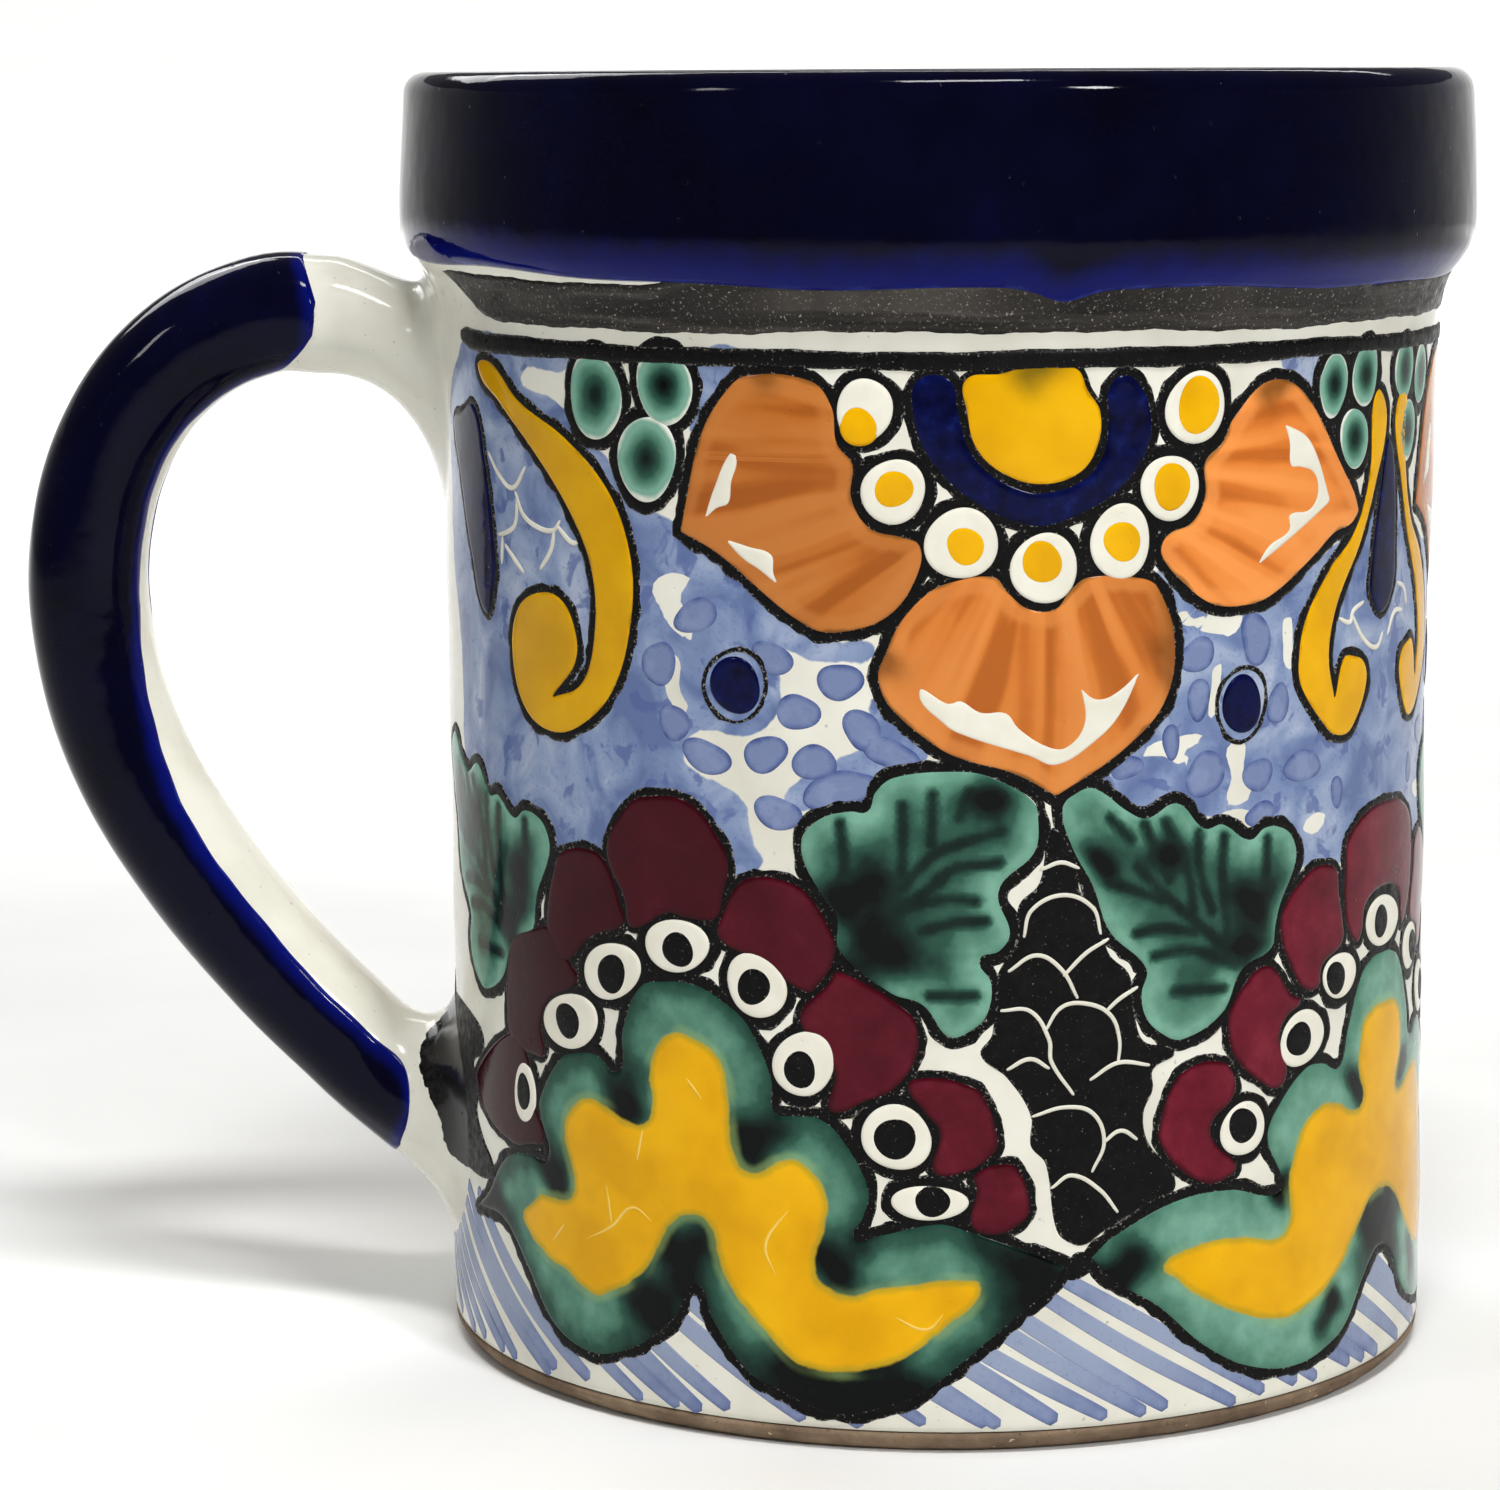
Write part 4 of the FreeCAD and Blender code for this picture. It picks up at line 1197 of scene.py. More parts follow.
FLOWER_B_U = 45.2  # the second wine flower is the same on both sides of this line
WINE_TOP_B = [(38.2, 44.9), (38.5, 46.5), (40.1, 47.8), (42.4, 48.6), (45.2, 48.8)]
WINE_TOP_B_BELOW = [(45.2, 41.6), (42, 40.7), (41.4, 38.4), (40.5, 37.6), (38.9, 39.2), (38.2, 41.5)]
WINE_PETALS_B = [
    [
        (30.1, 39.9), (30.5, 42.2), (33.5, 44.7), (35.8, 44.9), (37.2, 44.2), (37.6, 42.2), (38.3, 39.9),
        (38.3, 38), (35.5, 36.5), (35.1, 34.9), (33.5, 34.7), (32, 36),
    ],
    [
        (24.7, 32.6), (24.9, 34.5), (27.4, 37.2), (29.3, 37.4), (31.6, 34.9), (32.8, 34), (31.2, 33),
        (30.3, 31.5), (31.2, 28.7), (30.5, 27.3), (28.9, 27.5), (25.4, 30.3),
    ],
    [
        (25.1, 29.7), (23.5, 30.5), (21.6, 30.4), (19.7, 29.3), (18.2, 25.2), (18.9, 23.3), (20.5, 21.6),
        (22.8, 20.4), (24.7, 20.6), (25.8, 21.6), (23.7, 23.7), (23.3, 25.2), (25.6, 27.5),
    ],
]
WINE_BEADS_B = [
    ((37.9, 35.4, 2.4, 2.0, 0), (37.2, 35.3, 1.5, 1.5, 20)),
    ((32.9, 31, 2.9, 2.2, 20), (32.4, 31, 1.6, 1.6, 20)),
    ((26.4, 24.5, 2.3, 2.3, 20), (26.3, 24.8, 1.6, 1.6, 0)),
]
GREEN_B = [
    (45.2, 11.2), (42.4, 9.5), (39.7, 6.4), (37.4, 5), (32.4, 3.9), (27, 4.8), (22.4, 7.3), (18.2, 11),
    (14.3, 13.5), (12.4, 15.6, 1), (14.3, 17.2), (19.7, 19.5), (25.1, 19.8), (29.3, 18.7), (30.6, 19.3),
    (28.9, 23.3), (29.9, 25.6), (33.2, 28.5), (35.5, 28.6), (37.8, 27.9), (38.9, 30.6), (41.2, 34.9),
    (43.5, 36.1), (45.2, 36.2),
]
GREEN_HEART_B = [
    (45.2, 16.2), (42.8, 15.6), (37, 10.2), (32, 8.3), (28.9, 8.5), (23.5, 10.6), (19.5, 13.3), (18.7, 14.3),
    (20.3, 15.4), (25.5, 15.8), (30.1, 15), (31.4, 16), (31.4, 19.8), (33.2, 23.7), (35.1, 25), (37, 25),
    (40.8, 23.7), (41.8, 24.5), (40.8, 27.2), (41.4, 30.7), (43.2, 31.8), (45.2, 32),
]
GREEN_DARKS_B = [(15, 14.3, 2.5), (31, 18.3, 1.3), (36.5, 8, 1.5), (45.2, 13.5, 3.5), (41, 25.8, 1.6)]

LEAF_LEFT = [
    (-10.5, 47.6), (-10.3, 49.5), (-8.9, 50.9), (-6.6, 51.5), (-5.3, 51.5), (-4.7, 53), (-3.2, 54.2),
    (1.1, 54.7), (4.2, 54.3), (7.6, 52.2), (8.2, 50.3), (7.8, 48), (5.1, 45.2), (6, 41.8), (5.1, 40.3),
    (3.6, 39.7), (4.5, 38), (4.3, 35.7), (3, 34.2), (1.1, 33.6), (-1, 36.1), (-3.5, 37), (-7.6, 40.3),
    (-7.8, 43), (-8.9, 44.5),
]
LEAF_LEFT_VEINS = [
    [(-7.4, 50.4), (-7.1, 47), (-7.6, 44)], [(-2.5, 51.9), (-2.5, 46.6)], [(-0.2, 52.8), (-0.3, 49)],
    [(2.7, 52.9), (1.9, 51)], [(-2.6, 45.4), (0.2, 48.2), (5.2, 49.9)], [(0.2, 46.2), (1.6, 47), (5, 47.4)],
    [(-5, 41.5), (-2.8, 43.6), (0.6, 46)], [(-1, 42), (1, 42.6), (4, 42.8)], [(-0.4, 36.9), (3.2, 36.9)],
    [(-2.2, 44), (1, 44.6), (3.2, 44.4)],
]
LEAF_LEFT_DARKS = [(-4.6, 40.6, 3.2), (-6.4, 45.0, 2.4), (4.6, 52.0, 1.8)]
LEAF_RIGHT = [
    (9.9, 51.5), (11.1, 52.8), (12.6, 53.1), (15.5, 51.1), (17, 50.5), (19.7, 51.5), (22.2, 49.3),
    (23.9, 49.5), (26.6, 48), (28.2, 48.8), (30.1, 48.6), (31.4, 47.6), (31.8, 45.7), (30.1, 42.2),
    (29.7, 40.7), (29.3, 38.8), (26.2, 37.4), (24.3, 34.2), (20.5, 32.4), (18.5, 33), (17, 34.5),
    (16.6, 36.5), (17, 38.4), (13.9, 41.5), (12.4, 45.3), (10.7, 48.4),
]
LEAF_RIGHT_VEINS = [
    [(16.2, 46.6), (20.2, 42.8), (26.4, 38)], [(13.9, 50.6), (15.6, 48.8)], [(16.8, 49.9), (18.9, 45.4)],
    [(18.6, 50), (20.6, 46), (21.2, 42.8)], [(21.6, 48.9), (21.7, 46), (23, 42.6)],
    [(24, 48.4), (23.9, 45), (24.6, 40.4)], [(28.4, 47.8), (28.2, 44.6), (26.6, 39)],
    [(13.8, 45.6), (18.4, 43.8)], [(16.2, 41.3), (18.6, 41.6), (21.4, 41)],
    [(17.8, 39.4), (21, 39.6), (25.4, 38)], [(19.6, 36.4), (24.2, 36.2)],
]
LEAF_RIGHT_DARKS = [(27.6, 43.0, 2.2), (26.0, 39.4, 2.0), (19.0, 47.4, 1.6), (13.6, 47.6, 1.6)]
CONE = [
    (9, 49.9), (9.9, 49.7), (11.3, 46.9), (11.5, 44.9), (12.8, 43.8), (13.9, 39.9), (15.7, 38), (16.2, 34.5),
    (17, 32.6), (19.7, 31.6), (17.8, 30.3), (17.8, 28.7), (17, 26.8), (17.4, 24.5), (19.9, 20.8),
    (17.4, 19.5), (13.4, 17.5), (12.2, 16.7), (11.1, 16.7), (9.7, 17.9), (8.8, 23.3), (7.6, 24.8),
    (7.6, 27.2), (5.7, 30.3), (3.6, 32.2), (4.5, 33.8), (4.9, 38.4), (6.4, 41), (6.6, 44), (8.2, 45.7),
]
CONE_SCALES = [
    [(8.4, 46.8), (9.9, 47.3), (11.3, 46.8)],
    [(7, 41.5), (7.6, 43.6), (10.1, 44.7), (12.5, 43.6), (13.2, 41.5)],
    [(5.8, 38.8), (8, 40), (10, 38.8), (11.3, 36.5)],
    [(10.2, 38.3), (12, 40), (13.8, 41)],
    [(5.2, 35.7), (7.5, 35.6), (9, 33.3), (9.2, 31.5), (11, 28.8)],
    [(8.7, 34), (10, 35.8), (12, 36), (14, 35), (14.8, 33), (14.7, 31)],
    [(13.7, 35.3), (14.8, 36.2), (16.3, 37)],
    [(5.7, 31), (7.5, 31.8), (9, 31)],
    [(12.4, 29.9), (14.7, 31.1), (17.4, 30.7)],
    [(7.8, 27.2), (10.3, 27.8), (12.6, 27.2), (13.6, 24.8), (12.6, 22.5)],
    [(13.6, 24.8), (15, 25.6), (16.4, 24.8)],
    [(9.3, 21.4), (10.9, 22.3), (13.2, 21), (14.7, 19.1)],
]

# Where the blue wash lies: on the left of the first flower, and between two flowers (its left half)
WASH_LEFT = [
    (-54, 79), (-50.5, 84.5), (-46, 87), (-32, 86.6), (-31.8, 84.8), (-37.5, 84.4), (-33, 82.3), (-29, 79.3),
    (-24.5, 74.6), (-20.8, 73.2), (-12.5, 67), (-8, 64.9), (-4.8, 64.6), (-5, 63.2), (-9, 63.2),
    (-12.8, 63.6), (-13.4, 61), (-13.2, 58.5), (-16, 57.2), (-19.5, 57), (-20.5, 54.5), (-15.5, 52),
    (-14.8, 49), (-13.8, 47), (-17, 45), (-25, 46), (-36, 43), (-44, 43), (-50, 48), (-52, 60),
]
WASH_BETWEEN = [
    (44.25, 78), (42, 76.5), (40.2, 73), (33, 69), (26, 65.8), (20.5, 67), (18.2, 70.4), (17.6, 68),
    (18.8, 62), (17.5, 58), (14.5, 55.5), (11.5, 53.6), (13.5, 51), (19, 51), (26.5, 49.2), (29, 49),
    (32, 45.6), (36, 44.5), (44.25, 46),
]
WASH_STRIPS = [
    [
        (29.3, 86), (34, 86.2), (33.2, 84), (33.2, 81.5), (36, 77.4), (38.3, 74.8), (37.5, 74), (34.5, 79),
        (31.5, 83),
    ],
    [(-19.6, 60.8), (-18.2, 64.2), (-15.4, 64.8), (-12.8, 62.6), (-12.4, 59.4), (-15.2, 57), (-18.4, 57.8)],
    [(-19, 86.5), (-14.6, 86.3), (-17.3, 83.3), (-19.2, 79.8), (-19.6, 80.5), (-19, 83)],
    [(-0.2, 58.6), (-4.6, 60.6), (-4.8, 57), (-9.8, 54.2), (-11.4, 51.5), (-5, 53), (-1, 55.2)],
]
GAPS_LEFT = [
    [(-23.2, 68.6), (-19.8, 69.2), (-20.6, 67.6), (-19.6, 64.4), (-21.4, 65), (-22.4, 66.4)],
    [(-22.0, 63), (-20.8, 62.6), (-21.0, 60.4), (-20.2, 58.4), (-22.0, 59.4)],
]
GAPS_BETWEEN = [
    [(16.6, 55.6), (18.6, 55.2), (20.8, 54.2), (20.4, 55.6), (22.2, 56.4), (19.6, 56.6)],
    [(24.3, 55.4), (26.0, 55.8), (26.0, 53.6), (26.8, 51.4), (24.4, 51.2), (24.8, 53)],
    [(19.0, 66.4), (21.8, 65.6), (25.2, 65.8), (24.8, 64.4), (23.0, 64.6), (21.4, 65)],
    [(23.2, 62.4), (23.6, 60.6), (22.8, 57.8), (22.6, 60.2)],
    [(30.4, 65.6), (31.0, 63.6), (30.6, 61), (30.0, 63.4)],
    [(32.6, 48.4), (35.4, 49.0), (34.2, 47.6)],
    [(21.6, 48.8), (24.6, 50.4), (27.0, 49.6), (23.8, 49.6)],
]
# The black splash over the foot of the handle, as it looks from the side: (x, z)
SPLASH = [
    (-41.7, 29.6), (-42.8, 26.8), (-44.2, 25.4), (-44.5, 23.2), (-42.3, 18.6), (-41.8, 16.6), (-38.8, 15.9),
    (-37, 16.6), (-37, 17.8), (-38, 19.6), (-38.6, 21.5), (-38.4, 23.6), (-39, 25.5), (-37.9, 27),
    (-38.6, 29.2),
]

# How far round the wall each motif is repeated. The handle is between the last and the first.
ORANGE_AT = [0.0, 71.5, 141.5]
LYRE_AT = [0.0, 71.5]
WINE_AT = [0.0, 0.0, 131.0, 132.0]  # the two kinds by turns
PAIR_AT = [0.0, 66.5, 131.7]
BY_HANDLE_AT = -67.0  # one leaf and a splash of black stand beside the handle
BAND_START_U, BAND_END_U = -49.0, -49.0 - 34.0 + ROUND
UPPER_BAND_Z, LOWER_BAND_Z = (88.3, 92.3), (85.6, 87.1)  # lower and upper edge of each black band


# ---------------------------------------------------------------- painting


def half_mirrored(points, mirror):
    """An outline drawn on one side of a mirror line, completed with its other side."""
    inner = [q for q in points if abs(q[0] - mirror) > 0.01]
    return points + shifted(inner, 0.0, mirror)


def both_sides(outlines, mirror):
    return outlines + [shifted(points, 0.0, mirror) for points in outlines]


def signed_distance(loop):
    """A function that gives how far inside a closed loop each point is; negative outside."""
    return lambda flat: edge_distance(flat, loop) * np.where(is_inside(flat, loop), 1.0, -1.0)


FIELD_U = 44.25  # the middle of the wash between two flowers
WASHES = [(outline, 0.0) for outline in (WASH_LEFT, *WASH_STRIPS[1:])]
WASHES += [(half_mirrored(WASH_BETWEEN, FIELD_U), du) for du in LYRE_AT]
WASHES += [(WASH_BETWEEN, ORANGE_AT[2]), (WASH_STRIPS[0], ORANGE_AT[2])]
WASHES += [(strip, du) for strip in both_sides(WASH_STRIPS[:1], FIELD_U) for du in LYRE_AT]
WASH_GAPS = [(gap, 0.0) for gap in GAPS_LEFT]
WASH_GAPS += [(gap, du) for gap in both_sides(GAPS_BETWEEN, FIELD_U) for du in LYRE_AT]


def darkness(darks, loop=None, base=0.12, rim=0.0, middle=0.0, veins=()):
    """A function that gives 0 for pale to 1 for nearly black.

    It is dark round the given places, along the veins, and by rim and middle at an outline's edge and
    well inside it.
    """

    def at(flat):
        out = np.full(len(flat), base)
        if loop is not None:
            depth = edge_distance(flat, loop)
            out += rim * np.clip(1 - depth / 2.2, 0, 1) + middle * np.clip((depth - 0.8) / 2.4, 0, 1)
        x = flat[:, 0] + 0.7 * np.sin(1.1 * flat[:, 1] + 0.4 * flat[:, 0])
        z = flat[:, 1] + 0.7 * np.sin(0.9 * flat[:, 0] + 1.7)
        for u, height, reach in darks:
            far = np.hypot(x - u, z - height) / reach
            out += (1.15 - out) * np.exp(-(far**2))
        for line in veins:
            far = edge_distance(flat, np.vstack([line, line[::-1]])) / 0.50
            out += np.clip(0.80 - out, 0, 1) * np.exp(-(far**3))
        return np.clip(out, 0, 1)

    return at


def pooled(place):
    """A function that gives nearly black in the middle of an oval, thinning to white at its edge."""
    u, z, ru, rz = place

    def at(flat):
        return 1.0 - 1.25 * np.hypot((flat[:, 0] - u) / ru, (flat[:, 1] - z) / rz)

    return at


class Painting:
    """All the coats of the pattern. Each group of motifs that is one CAD node is one coat."""

    def __init__(self):
        self.dabs = Coat("blue_dabs", WASH, 0.25)
        self.lines = Coat("black_outlines", BLACK, 0.18)
        self.teal = Coat("teal_drops", FILL, 0.4)
        self.white = Coat("white_beads", EYE, 0.4)
        self.flames = Coat("white_flames", EYE, 0.25)
        self.yellow = Coat("yellow_scrolls_and_pips", IRIS, 0.4)
        self.pips = Coat("black_pips", IRIS, 0.3)
        self.navy = Coat("navy_marks", FILL, 0.4)
        self.scales = Coat("cone_scale_lines", EYE, 0.15)
        self.ripple_highlights = Coat("yellow_ripple_highlights", FILL, 0.12)
        self.groups = []

    def group(self, name, lift, rounding, slot, nodes):
        """A coat of its own for the motifs that stand for the given CAD nodes."""
        coat = Coat(name, lift, rounding)
        self.groups.append((coat, slot, nodes))
        return coat

    def bead(self, place, pip, pip_coat, du, mirror=None):
        """A white bead with a coloured pip, ringed in black."""
        outline = oval(*placed(place, du, mirror))
        self.white.fill(outline, 0.6)
        self.lines.ring(outline, 0.8)
        pip_coat.fill(oval(*placed(pip, du, mirror)), 0.5)

    def orange_flower(self, petals, hearts, cups, du):
        heart = (ORANGE_HEART_U + du, 79.0)
        for outline, darks, base in ORANGE_PETALS:
            loop = smooth(shifted(outline, du))
            petals.fill(loop, 0.8, towards=heart, tint=darkness(shifted(darks, du), base=base))
            self.lines.ring(loop, 0.75)
        for outline in FLAMES:
            self.flames.fill(smooth(shifted(outline, du)), 0.5)
        loop = smooth(shifted(YELLOW_HEART, du))
        hearts.fill(loop, 0.8, tint=darkness([(8 + du, 86.3, 2.0)], base=0.08))
        self.lines.ring(loop, 0.35)
        loop = smooth(shifted(NAVY_CUP, du))
        cups.fill(loop, 0.7)
        self.lines.ring(loop, 0.6)
        for place, pip in ORANGE_BEADS:
            self.bead(place, pip, self.yellow, du)

    def lyre(self, scrolls, drop, net, du, base=0.0):
        for outline in scrolls:
            loop = smooth(shifted(outline, du))
            # base darkens the whole scroll all over, as painted shade.
            self.yellow.fill(loop, 0.7, lift=FILL, tint=darkness([], base=base))
            self.lines.ring(loop, 0.65)
        if drop:
            loop = smooth(shifted(drop, du))
            self.navy.fill(loop, 0.7)
            self.lines.ring(loop, 0.45)
        for line in net:
            self.scales.fill(stroke_outline(shifted(line, du), 0.45, 0.6), 0.4, lift=BLACK)

    def teal_drops(self, drops, du, mirror=None):
        for drop in [placed(drop, du, mirror) for drop in drops]:
            outline = oval(*drop, wobble=0.05)
            self.teal.fill(outline, 0.45, tint=pooled(drop))
            self.lines.ring(outline, 0.8)

    def dots_and_dabs(self, side, du, mirror=None):
        u, z, ru, rz = placed(NAVY_DOTS[side], du, mirror)
        self.navy.fill(oval(u, z, ru, rz), 0.5)
        self.lines.ring(oval(u, z, ru + 0.35, rz + 0.35, wobble=0.05), 0.4, tuck=0.0)
        for dab in DABS[side]:
            self.dabs.fill(oval(*placed(dab, du, mirror), rng.uniform(-20, 20), 0.09), 0.6)

    def wine_petal(self, coat, points, du, mirror=None, base=0.0):
        loop = smooth(shifted(points, du, mirror))
        coat.fill(loop, 0.8, tint=darkness([], base=base))
        self.lines.ring(loop, 0.5)

    def green_shape(self, coat, outer, core, darks, base):
        loop, heart = smooth(outer), smooth(core)
        shade = darkness(darks, loop, base=base, rim=0.12 + base)
        coat.fill(loop, 0.6, tint=shade, heart=signed_distance(heart))
        self.lines.ring(loop, 0.75)

    def wine_flower_a(self, wine, green, du):
        for points in WINE_PETALS_A:
            # Painted shade: the petals darken towards the left, from nearly brown at u = -40 to a little at u
            # = 0.
            base = np.interp(points[0][0], [-40, 0], [0.95, 0.30])
            self.wine_petal(wine, points, du, base=base)
        for place, pip in WINE_BEADS_A:
            self.bead(place, pip, self.pips, du)
        outlines = (shifted(points, du) for points in (GREEN_A, GREEN_HEART_A, GREEN_DARKS_A))
        self.green_shape(green, *outlines, 0.24)
        for line in RIPPLE_HIGHLIGHTS_A:
            self.ripple_highlights.fill(stroke_outline(shifted(line, du), 0.35, 0.3), 0.4, lift=FILL + 0.08)

    def wine_flower_b(self, wine, green, du):
        top = half_mirrored(WINE_TOP_B, FLOWER_B_U)
        below = shifted(WINE_TOP_B_BELOW[1:], 0.0, FLOWER_B_U) + WINE_TOP_B_BELOW
        self.wine_petal(wine, top + below, du)
        self.bead((FLOWER_B_U, 38.8, 3.4, 2.2, 0), (FLOWER_B_U - 0.6, 38.8, 1.5, 1.5, 0), self.pips, du)
        for mirror in (None, FLOWER_B_U):
            for points in WINE_PETALS_B:
                self.wine_petal(wine, points, du, mirror)
            for place, pip in WINE_BEADS_B:
                self.bead(place, pip, self.pips, du, mirror)
        outlines = [half_mirrored(points, FLOWER_B_U) for points in (GREEN_B, GREEN_HEART_B)]
        outlines.append(GREEN_DARKS_B + shifted(GREEN_DARKS_B, 0.0, FLOWER_B_U))
        self.green_shape(green, *(shifted(points, du) for points in outlines), 0.08)

    def leaf(self, coat, outline, veins, darks, du):
        loop = smooth(shifted(outline, du))
        lines = [smooth(shifted(line, du), closed=False, step=0.6) for line in veins]
        shade = darkness(shifted(darks, du), loop, base=0.10, middle=0.36, veins=lines)
        coat.fill(loop, 0.42, tint=shade)
        self.lines.ring(loop, 0.8)

    def right_leaf(self, leaves, du):
        self.leaf(leaves, LEAF_RIGHT, LEAF_RIGHT_VEINS, LEAF_RIGHT_DARKS, du)

    def leaf_pair(self, leaves, cone, du):
        self.leaf(leaves, LEAF_LEFT, LEAF_LEFT_VEINS, LEAF_LEFT_DARKS, du)
        self.right_leaf(leaves, du)
        loop = smooth(shifted(CONE, du))
        cone.fill(loop, 0.7)
        for line in CONE_SCALES:
            self.scales.fill(stroke_outline(shifted(line, du), 0.42, 0.7), 0.4)
        self.lines.fill(oval(11.5 + du, 14.9, 1.3, 1.0, wobble=0.2), 0.4)

    def hatching(self):
        """The slanting pale blue strokes above the foot, left out under the handle."""
        u = HANDLE_U - 8.0
        while u < HANDLE_U - 38.0 + ROUND:
            top, low = 15.0 + rng.uniform(-0.6, 0.6), rng.uniform(2.2, 2.9)
            run = 1.55 * (top - low) * rng.uniform(0.94, 1.06)
            bow = rng.uniform(-0.2, 0.5)
            line = [(u, top), (u + 0.5 * run, (top + low) / 2 - bow), (u + run, low)]
            stroke = stroke_outline(line, rng.uniform(1.35, 1.65), 0.7)
            self.dabs.fill(stroke, 0.6, tint=darkness([line[1] + (0.4 * run,)], base=0.15))
            u += rng.uniform(3.4, 3.8)


def wavy_line(u, seed, size):
    """A hand's slow unsteadiness along a line that runs round the wall."""
    noise = random.Random(seed)
    out = 0 * u
    for length in (60.0, 23.0, 9.0, 3.7, 1.6):
        out += (length / 60) ** 0.45 * np.sin(u * 2 * math.pi / length + noise.uniform(0, 6.3))
    return out * size


def make_bands(thin, thick):
    """The two black bands under the rim."""
    u = np.arange(BAND_START_U, BAND_END_U, 0.5)
    to_end = np.minimum(u - u[0], u[-1] - u)
    narrow = np.clip(to_end / 2.0, 0.05, 1) ** 0.5

    def band(name, low, high, lift):
        middle, half = (low + high) / 2, (high - low) / 2 * narrow
        coat = Coat(name, lift, 0.3)
        coat.strip(np.stack([u, middle + half], 1), np.stack([u, middle - half], 1), closed=False)
        return coat

    # Both bands rise towards the handle, and the upper one is cut slantwise at its ends.
    rise = 0.9 * np.exp(-(u - u[0]) / 5.0) + 0.5 * np.exp(-(u[-1] - u) / 6.0)
    slant = 2.6 * np.exp(-(((u - u[0]) / 3.5) ** 1.5)) + 2.0 * np.exp(-(((u[-1] - u) / 3.0) ** 1.5))
    upper_low = UPPER_BAND_Z[0] + rise + slant + wavy_line(u, 3, 0.14)
    upper_high = UPPER_BAND_Z[1] + wavy_line(u, 4, 0.10)
    # How far the upper band's top edge falls short, as (u, depth)
    dips = [(-49, 0.1), (-22, 0.35), (-14, -0.9), (36, -0.9), (39, 0.9), (50, 0.9), (60, 0.2), (181, 0.3)]
    upper_high -= np.interp(u, *zip(*dips))
    lower_low = LOWER_BAND_Z[0] + 0.6 * rise + wavy_line(u, 5, 0.10)
    lower_high = LOWER_BAND_Z[1] + 0.9 * rise + wavy_line(u, 6, 0.09)
    band("upper_band", upper_low, upper_high, BLACK).build(thin, "black_pigment", "upper_black_band")
    band("lower_band", lower_low, lower_high, EYE).build(thick, "black_pigment", "lower_black_band")


def paint_pattern():
    """Paints every motif and turns the coats into pieces."""
    glazes = {
        "black_pigment": black_pigment(),
        "cobalt_glaze": navy_glaze(),
        "orange_glaze": orange_glaze(),
        "yellow_glaze": yellow_glaze(),
        "wine_glaze": wine_glaze(),
        "green_glaze": green_glaze(),
    }
    p = Painting()
    for k, du in enumerate(ORANGE_AT, 1):
        petals = p.group(f"orange_petals_{k}", FILL, 0.5, "orange_glaze", [f"orange_flower_{k}"])
        hearts = p.group(f"yellow_half_disc_{k}", FILL, 0.5, "yellow_glaze", [f"yellow_heart_{k}"])
        cups = p.group(f"cobalt_crescent_{k}", FILL, 0.45, "cobalt_glaze", [f"cobalt_cup_{k}"])
        p.orange_flower(petals, hearts, cups, du)
        p.dots_and_dabs(1, du)
        if k == 1:
            p.dots_and_dabs(0, du)
        else:
            p.dots_and_dabs(1, du, ORANGE_HEART_U)
    # The left scroll is darkened all over with painted shade.
    p.lyre(LYRE_SCROLLS[:1], LYRE_DROPS[0], LYRE_NET[0], 0.0, base=0.25)
    p.teal_drops(TEAL_DROPS[0], 0.0)
    for du in LYRE_AT:
        p.lyre(both_sides(LYRE_SCROLLS[1:], FIELD_U), LYRE_DROPS[1], LYRE_NET[1], du)
        p.teal_drops(TEAL_DROPS[1], du)
        p.teal_drops(TEAL_DROPS[1], du, FIELD_U - 1.2)
    p.lyre(LYRE_SCROLLS[1:2], None, [], ORANGE_AT[2])
    p.teal_drops(TEAL_DROPS[1], ORANGE_AT[2])
    for k, du in enumerate(WINE_AT, 1):
        wine = p.group(f"wine_petals_{k}", FILL, 0.5, "wine_glaze", [f"wine_flower_{k}"])
        green = p.group(f"green_and_yellow_base_{k}", FILL, 0.5, "green_glaze", [])
        (p.wine_flower_a if k % 2 else p.wine_flower_b)(wine, green, du)
    for k, du in enumerate([*PAIR_AT, BY_HANDLE_AT], 1):
        leaves = p.group(f"leaves_{k}", FILL, 0.5, "green_glaze", [f"leaf_pair_{k}"])
        cone = p.group(f"cone_{k}", BLACK + 0.03, 0.3, "black_pigment", [f"scaly_cone_{k}"])
        if du == BY_HANDLE_AT:
            p.right_leaf(leaves, du)
            on_the_wall = [(UNROLL_R * math.asin(max(x, -41.9) / UNROLL_R), z) for x, z in smooth(SPLASH)]
            cone.fill(np.array(on_the_wall), 0.7)
        else:
            p.leaf_pair(leaves, cone, du)
    p.hatching()

    for coat, slot, nodes in p.groups:
        coat.build(glazes[slot], slot, *nodes)
    white = bright_white()
    p.dabs.build(blue_dab(), "cobalt_glaze")
    p.lines.build(glazes["black_pigment"], "black_pigment")
    p.teal.build(glazes["green_glaze"], "green_glaze")
    p.white.build(white, "white_glaze")
    p.flames.build(white, "white_glaze")
    p.yellow.build(glazes["yellow_glaze"], "yellow_glaze")
    p.pips.build(glazes["black_pigment"], "black_pigment")
    p.navy.build(glazes["cobalt_glaze"], "cobalt_glaze")
    p.scales.build(white, "white_glaze")
    # The ripple lines on the yellow hearts, pale with painted highlight.
    p.ripple_highlights.build(pale_ripple_highlight(), "yellow_glaze")
    make_bands(band_pigment(), glazes["black_pigment"])


# ---------------------------------------------------------------- the stage


def floor_material():
    p = Paint("studio_floor", 0.8)
    base = p.colours(p.noise(60, 3), (0.3, (232, 232, 230)), (0.7, (240, 240, 238)))
    return p.finish(base, [(p.noise(1.5, 3), 0.02)])


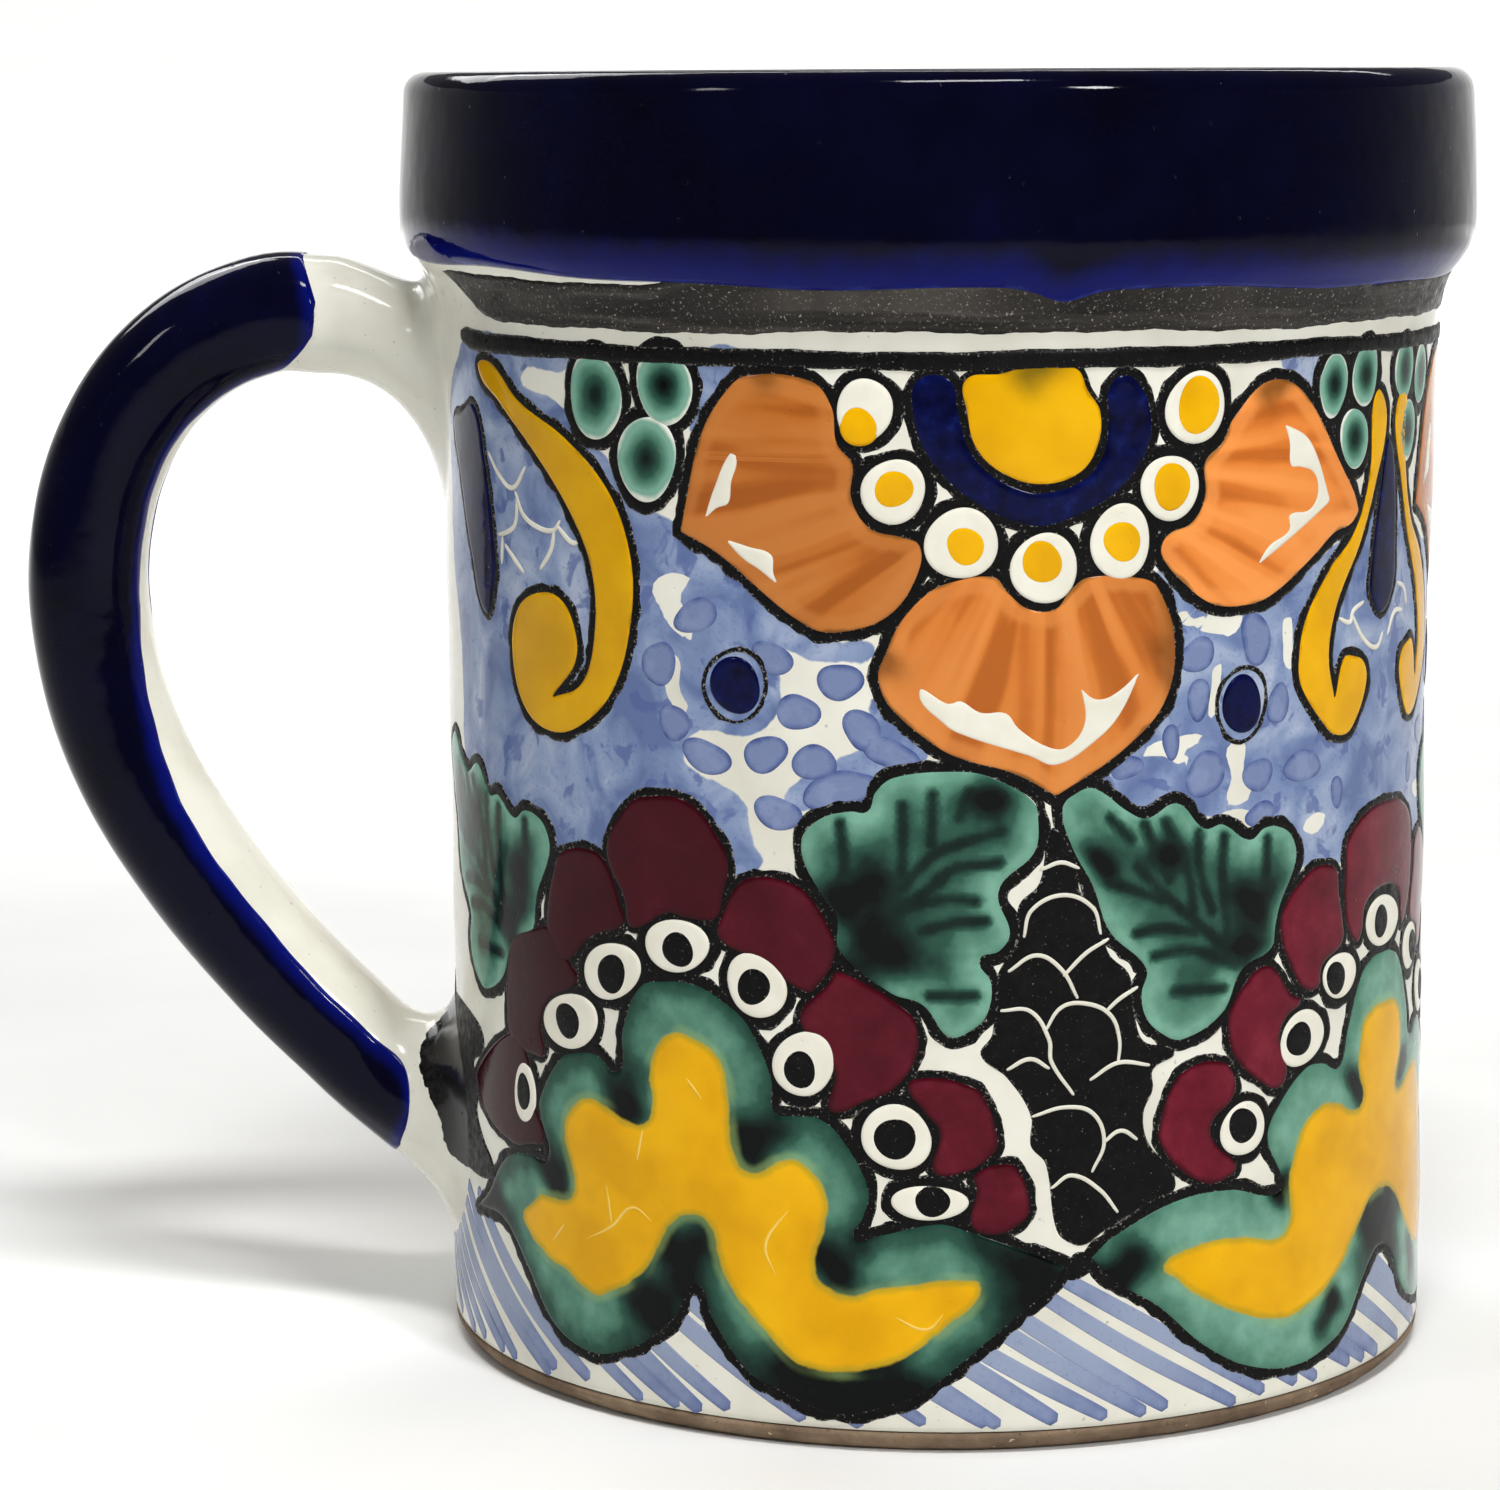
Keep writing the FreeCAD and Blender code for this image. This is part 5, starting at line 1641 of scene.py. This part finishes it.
def make_floor():
    """A plain pale floor that curves up far away on every side."""
    profile = [(0.001, 0)] + [(r, 0) for r in (0.4, 0.9, 1.5)]
    profile += [(2.2 + 0.9 * math.sin(t), 0.9 - 0.9 * math.cos(t)) for t in np.linspace(0, 1.5, 12)]
    profile = np.array(profile) / MM
    columns = 96
    angle = full_turn(columns)
    r, z = profile[:, :1], profile[:, 1:] + FOOT_Z
    points = around(r, angle, z).reshape(-1, 3)
    obj = make_object("studio_floor", points, grid_faces(len(profile), columns, False, True))
    obj.data.materials.append(floor_material())


def area_light(name, place, aim, size, power):
    """A soft white rectangular lamp at a place, turned to its aim, sizes in metres."""
    lamp = bpy.data.lights.new(name, "AREA")
    lamp.shape, lamp.size, lamp.size_y = "RECTANGLE", *size
    lamp.energy = power
    obj = bpy.data.objects.new(name, lamp)
    obj.location = place
    obj.rotation_euler = (Vector(aim) - Vector(place)).to_track_quat("-Z", "Y").to_euler()
    bpy.context.collection.objects.link(obj)


def make_lights():
    """Small bright softboxes for the glints, a wide backdrop lamp and a weak even fill."""
    middle = (0, 0, 0.05)
    area_light("overhead", (0.05, -0.30, 0.72), middle, (0.24, 0.09), 3.9)
    area_light("front_right", (0.50, -0.75, 0.60), middle, (0.12, 0.12), 4.1)
    area_light("front_left", (-0.70, -0.60, 0.55), middle, (0.09, 0.14), 0.9)
    area_light("behind_left", (-0.55, 0.75, 0.75), (-0.2, 0.35, 0), (0.5, 0.5), 4.5)
    area_light("backdrop", (0.0, 1.3, 1.1), (0, 1.9, 0.1), (1.8, 0.8), 38.0)
    world = bpy.data.worlds.new("studio")
    world.use_nodes = True
    world.node_tree.nodes["Background"].inputs["Color"].default_value = (1, 1, 1, 1)
    world.node_tree.nodes["Background"].inputs["Strength"].default_value = 0.14
    bpy.context.scene.world = world
    bpy.context.scene.view_settings.view_transform = "Standard"


def make_camera():
    """The camera at the height, distance and turn that frame the mug."""
    camera = bpy.data.cameras.new("camera")
    camera.lens, camera.sensor_width, camera.sensor_fit = 106.3, 36.0, "HORIZONTAL"
    camera.clip_start = 0.01
    obj = bpy.data.objects.new("camera", camera)
    pitch, yaw, roll = math.radians(8.73), math.radians(-2.42), math.radians(-0.30)
    ahead = Vector((math.sin(yaw) * math.cos(pitch), math.cos(yaw) * math.cos(pitch), -math.sin(pitch)))
    level = Vector((math.cos(yaw), -math.sin(yaw), 0))
    rise = level.cross(ahead)
    right = level * math.cos(roll) + rise * math.sin(roll)
    up = rise * math.cos(roll) - level * math.sin(roll)
    turn = Matrix((right, up, -ahead)).transposed().to_4x4()
    obj.matrix_world = Matrix.Translation((0, -0.3798, 0.1086)) @ turn
    bpy.context.collection.objects.link(obj)
    bpy.context.scene.camera = obj


white = white_glaze()
cobalt = cobalt_glaze()
make_vessel(white)
make_rim(cobalt)
make_foot(bare_clay())
make_handle(white)
make_stripe(cobalt)
paint_pattern()
make_floor()
make_lights()
make_camera()
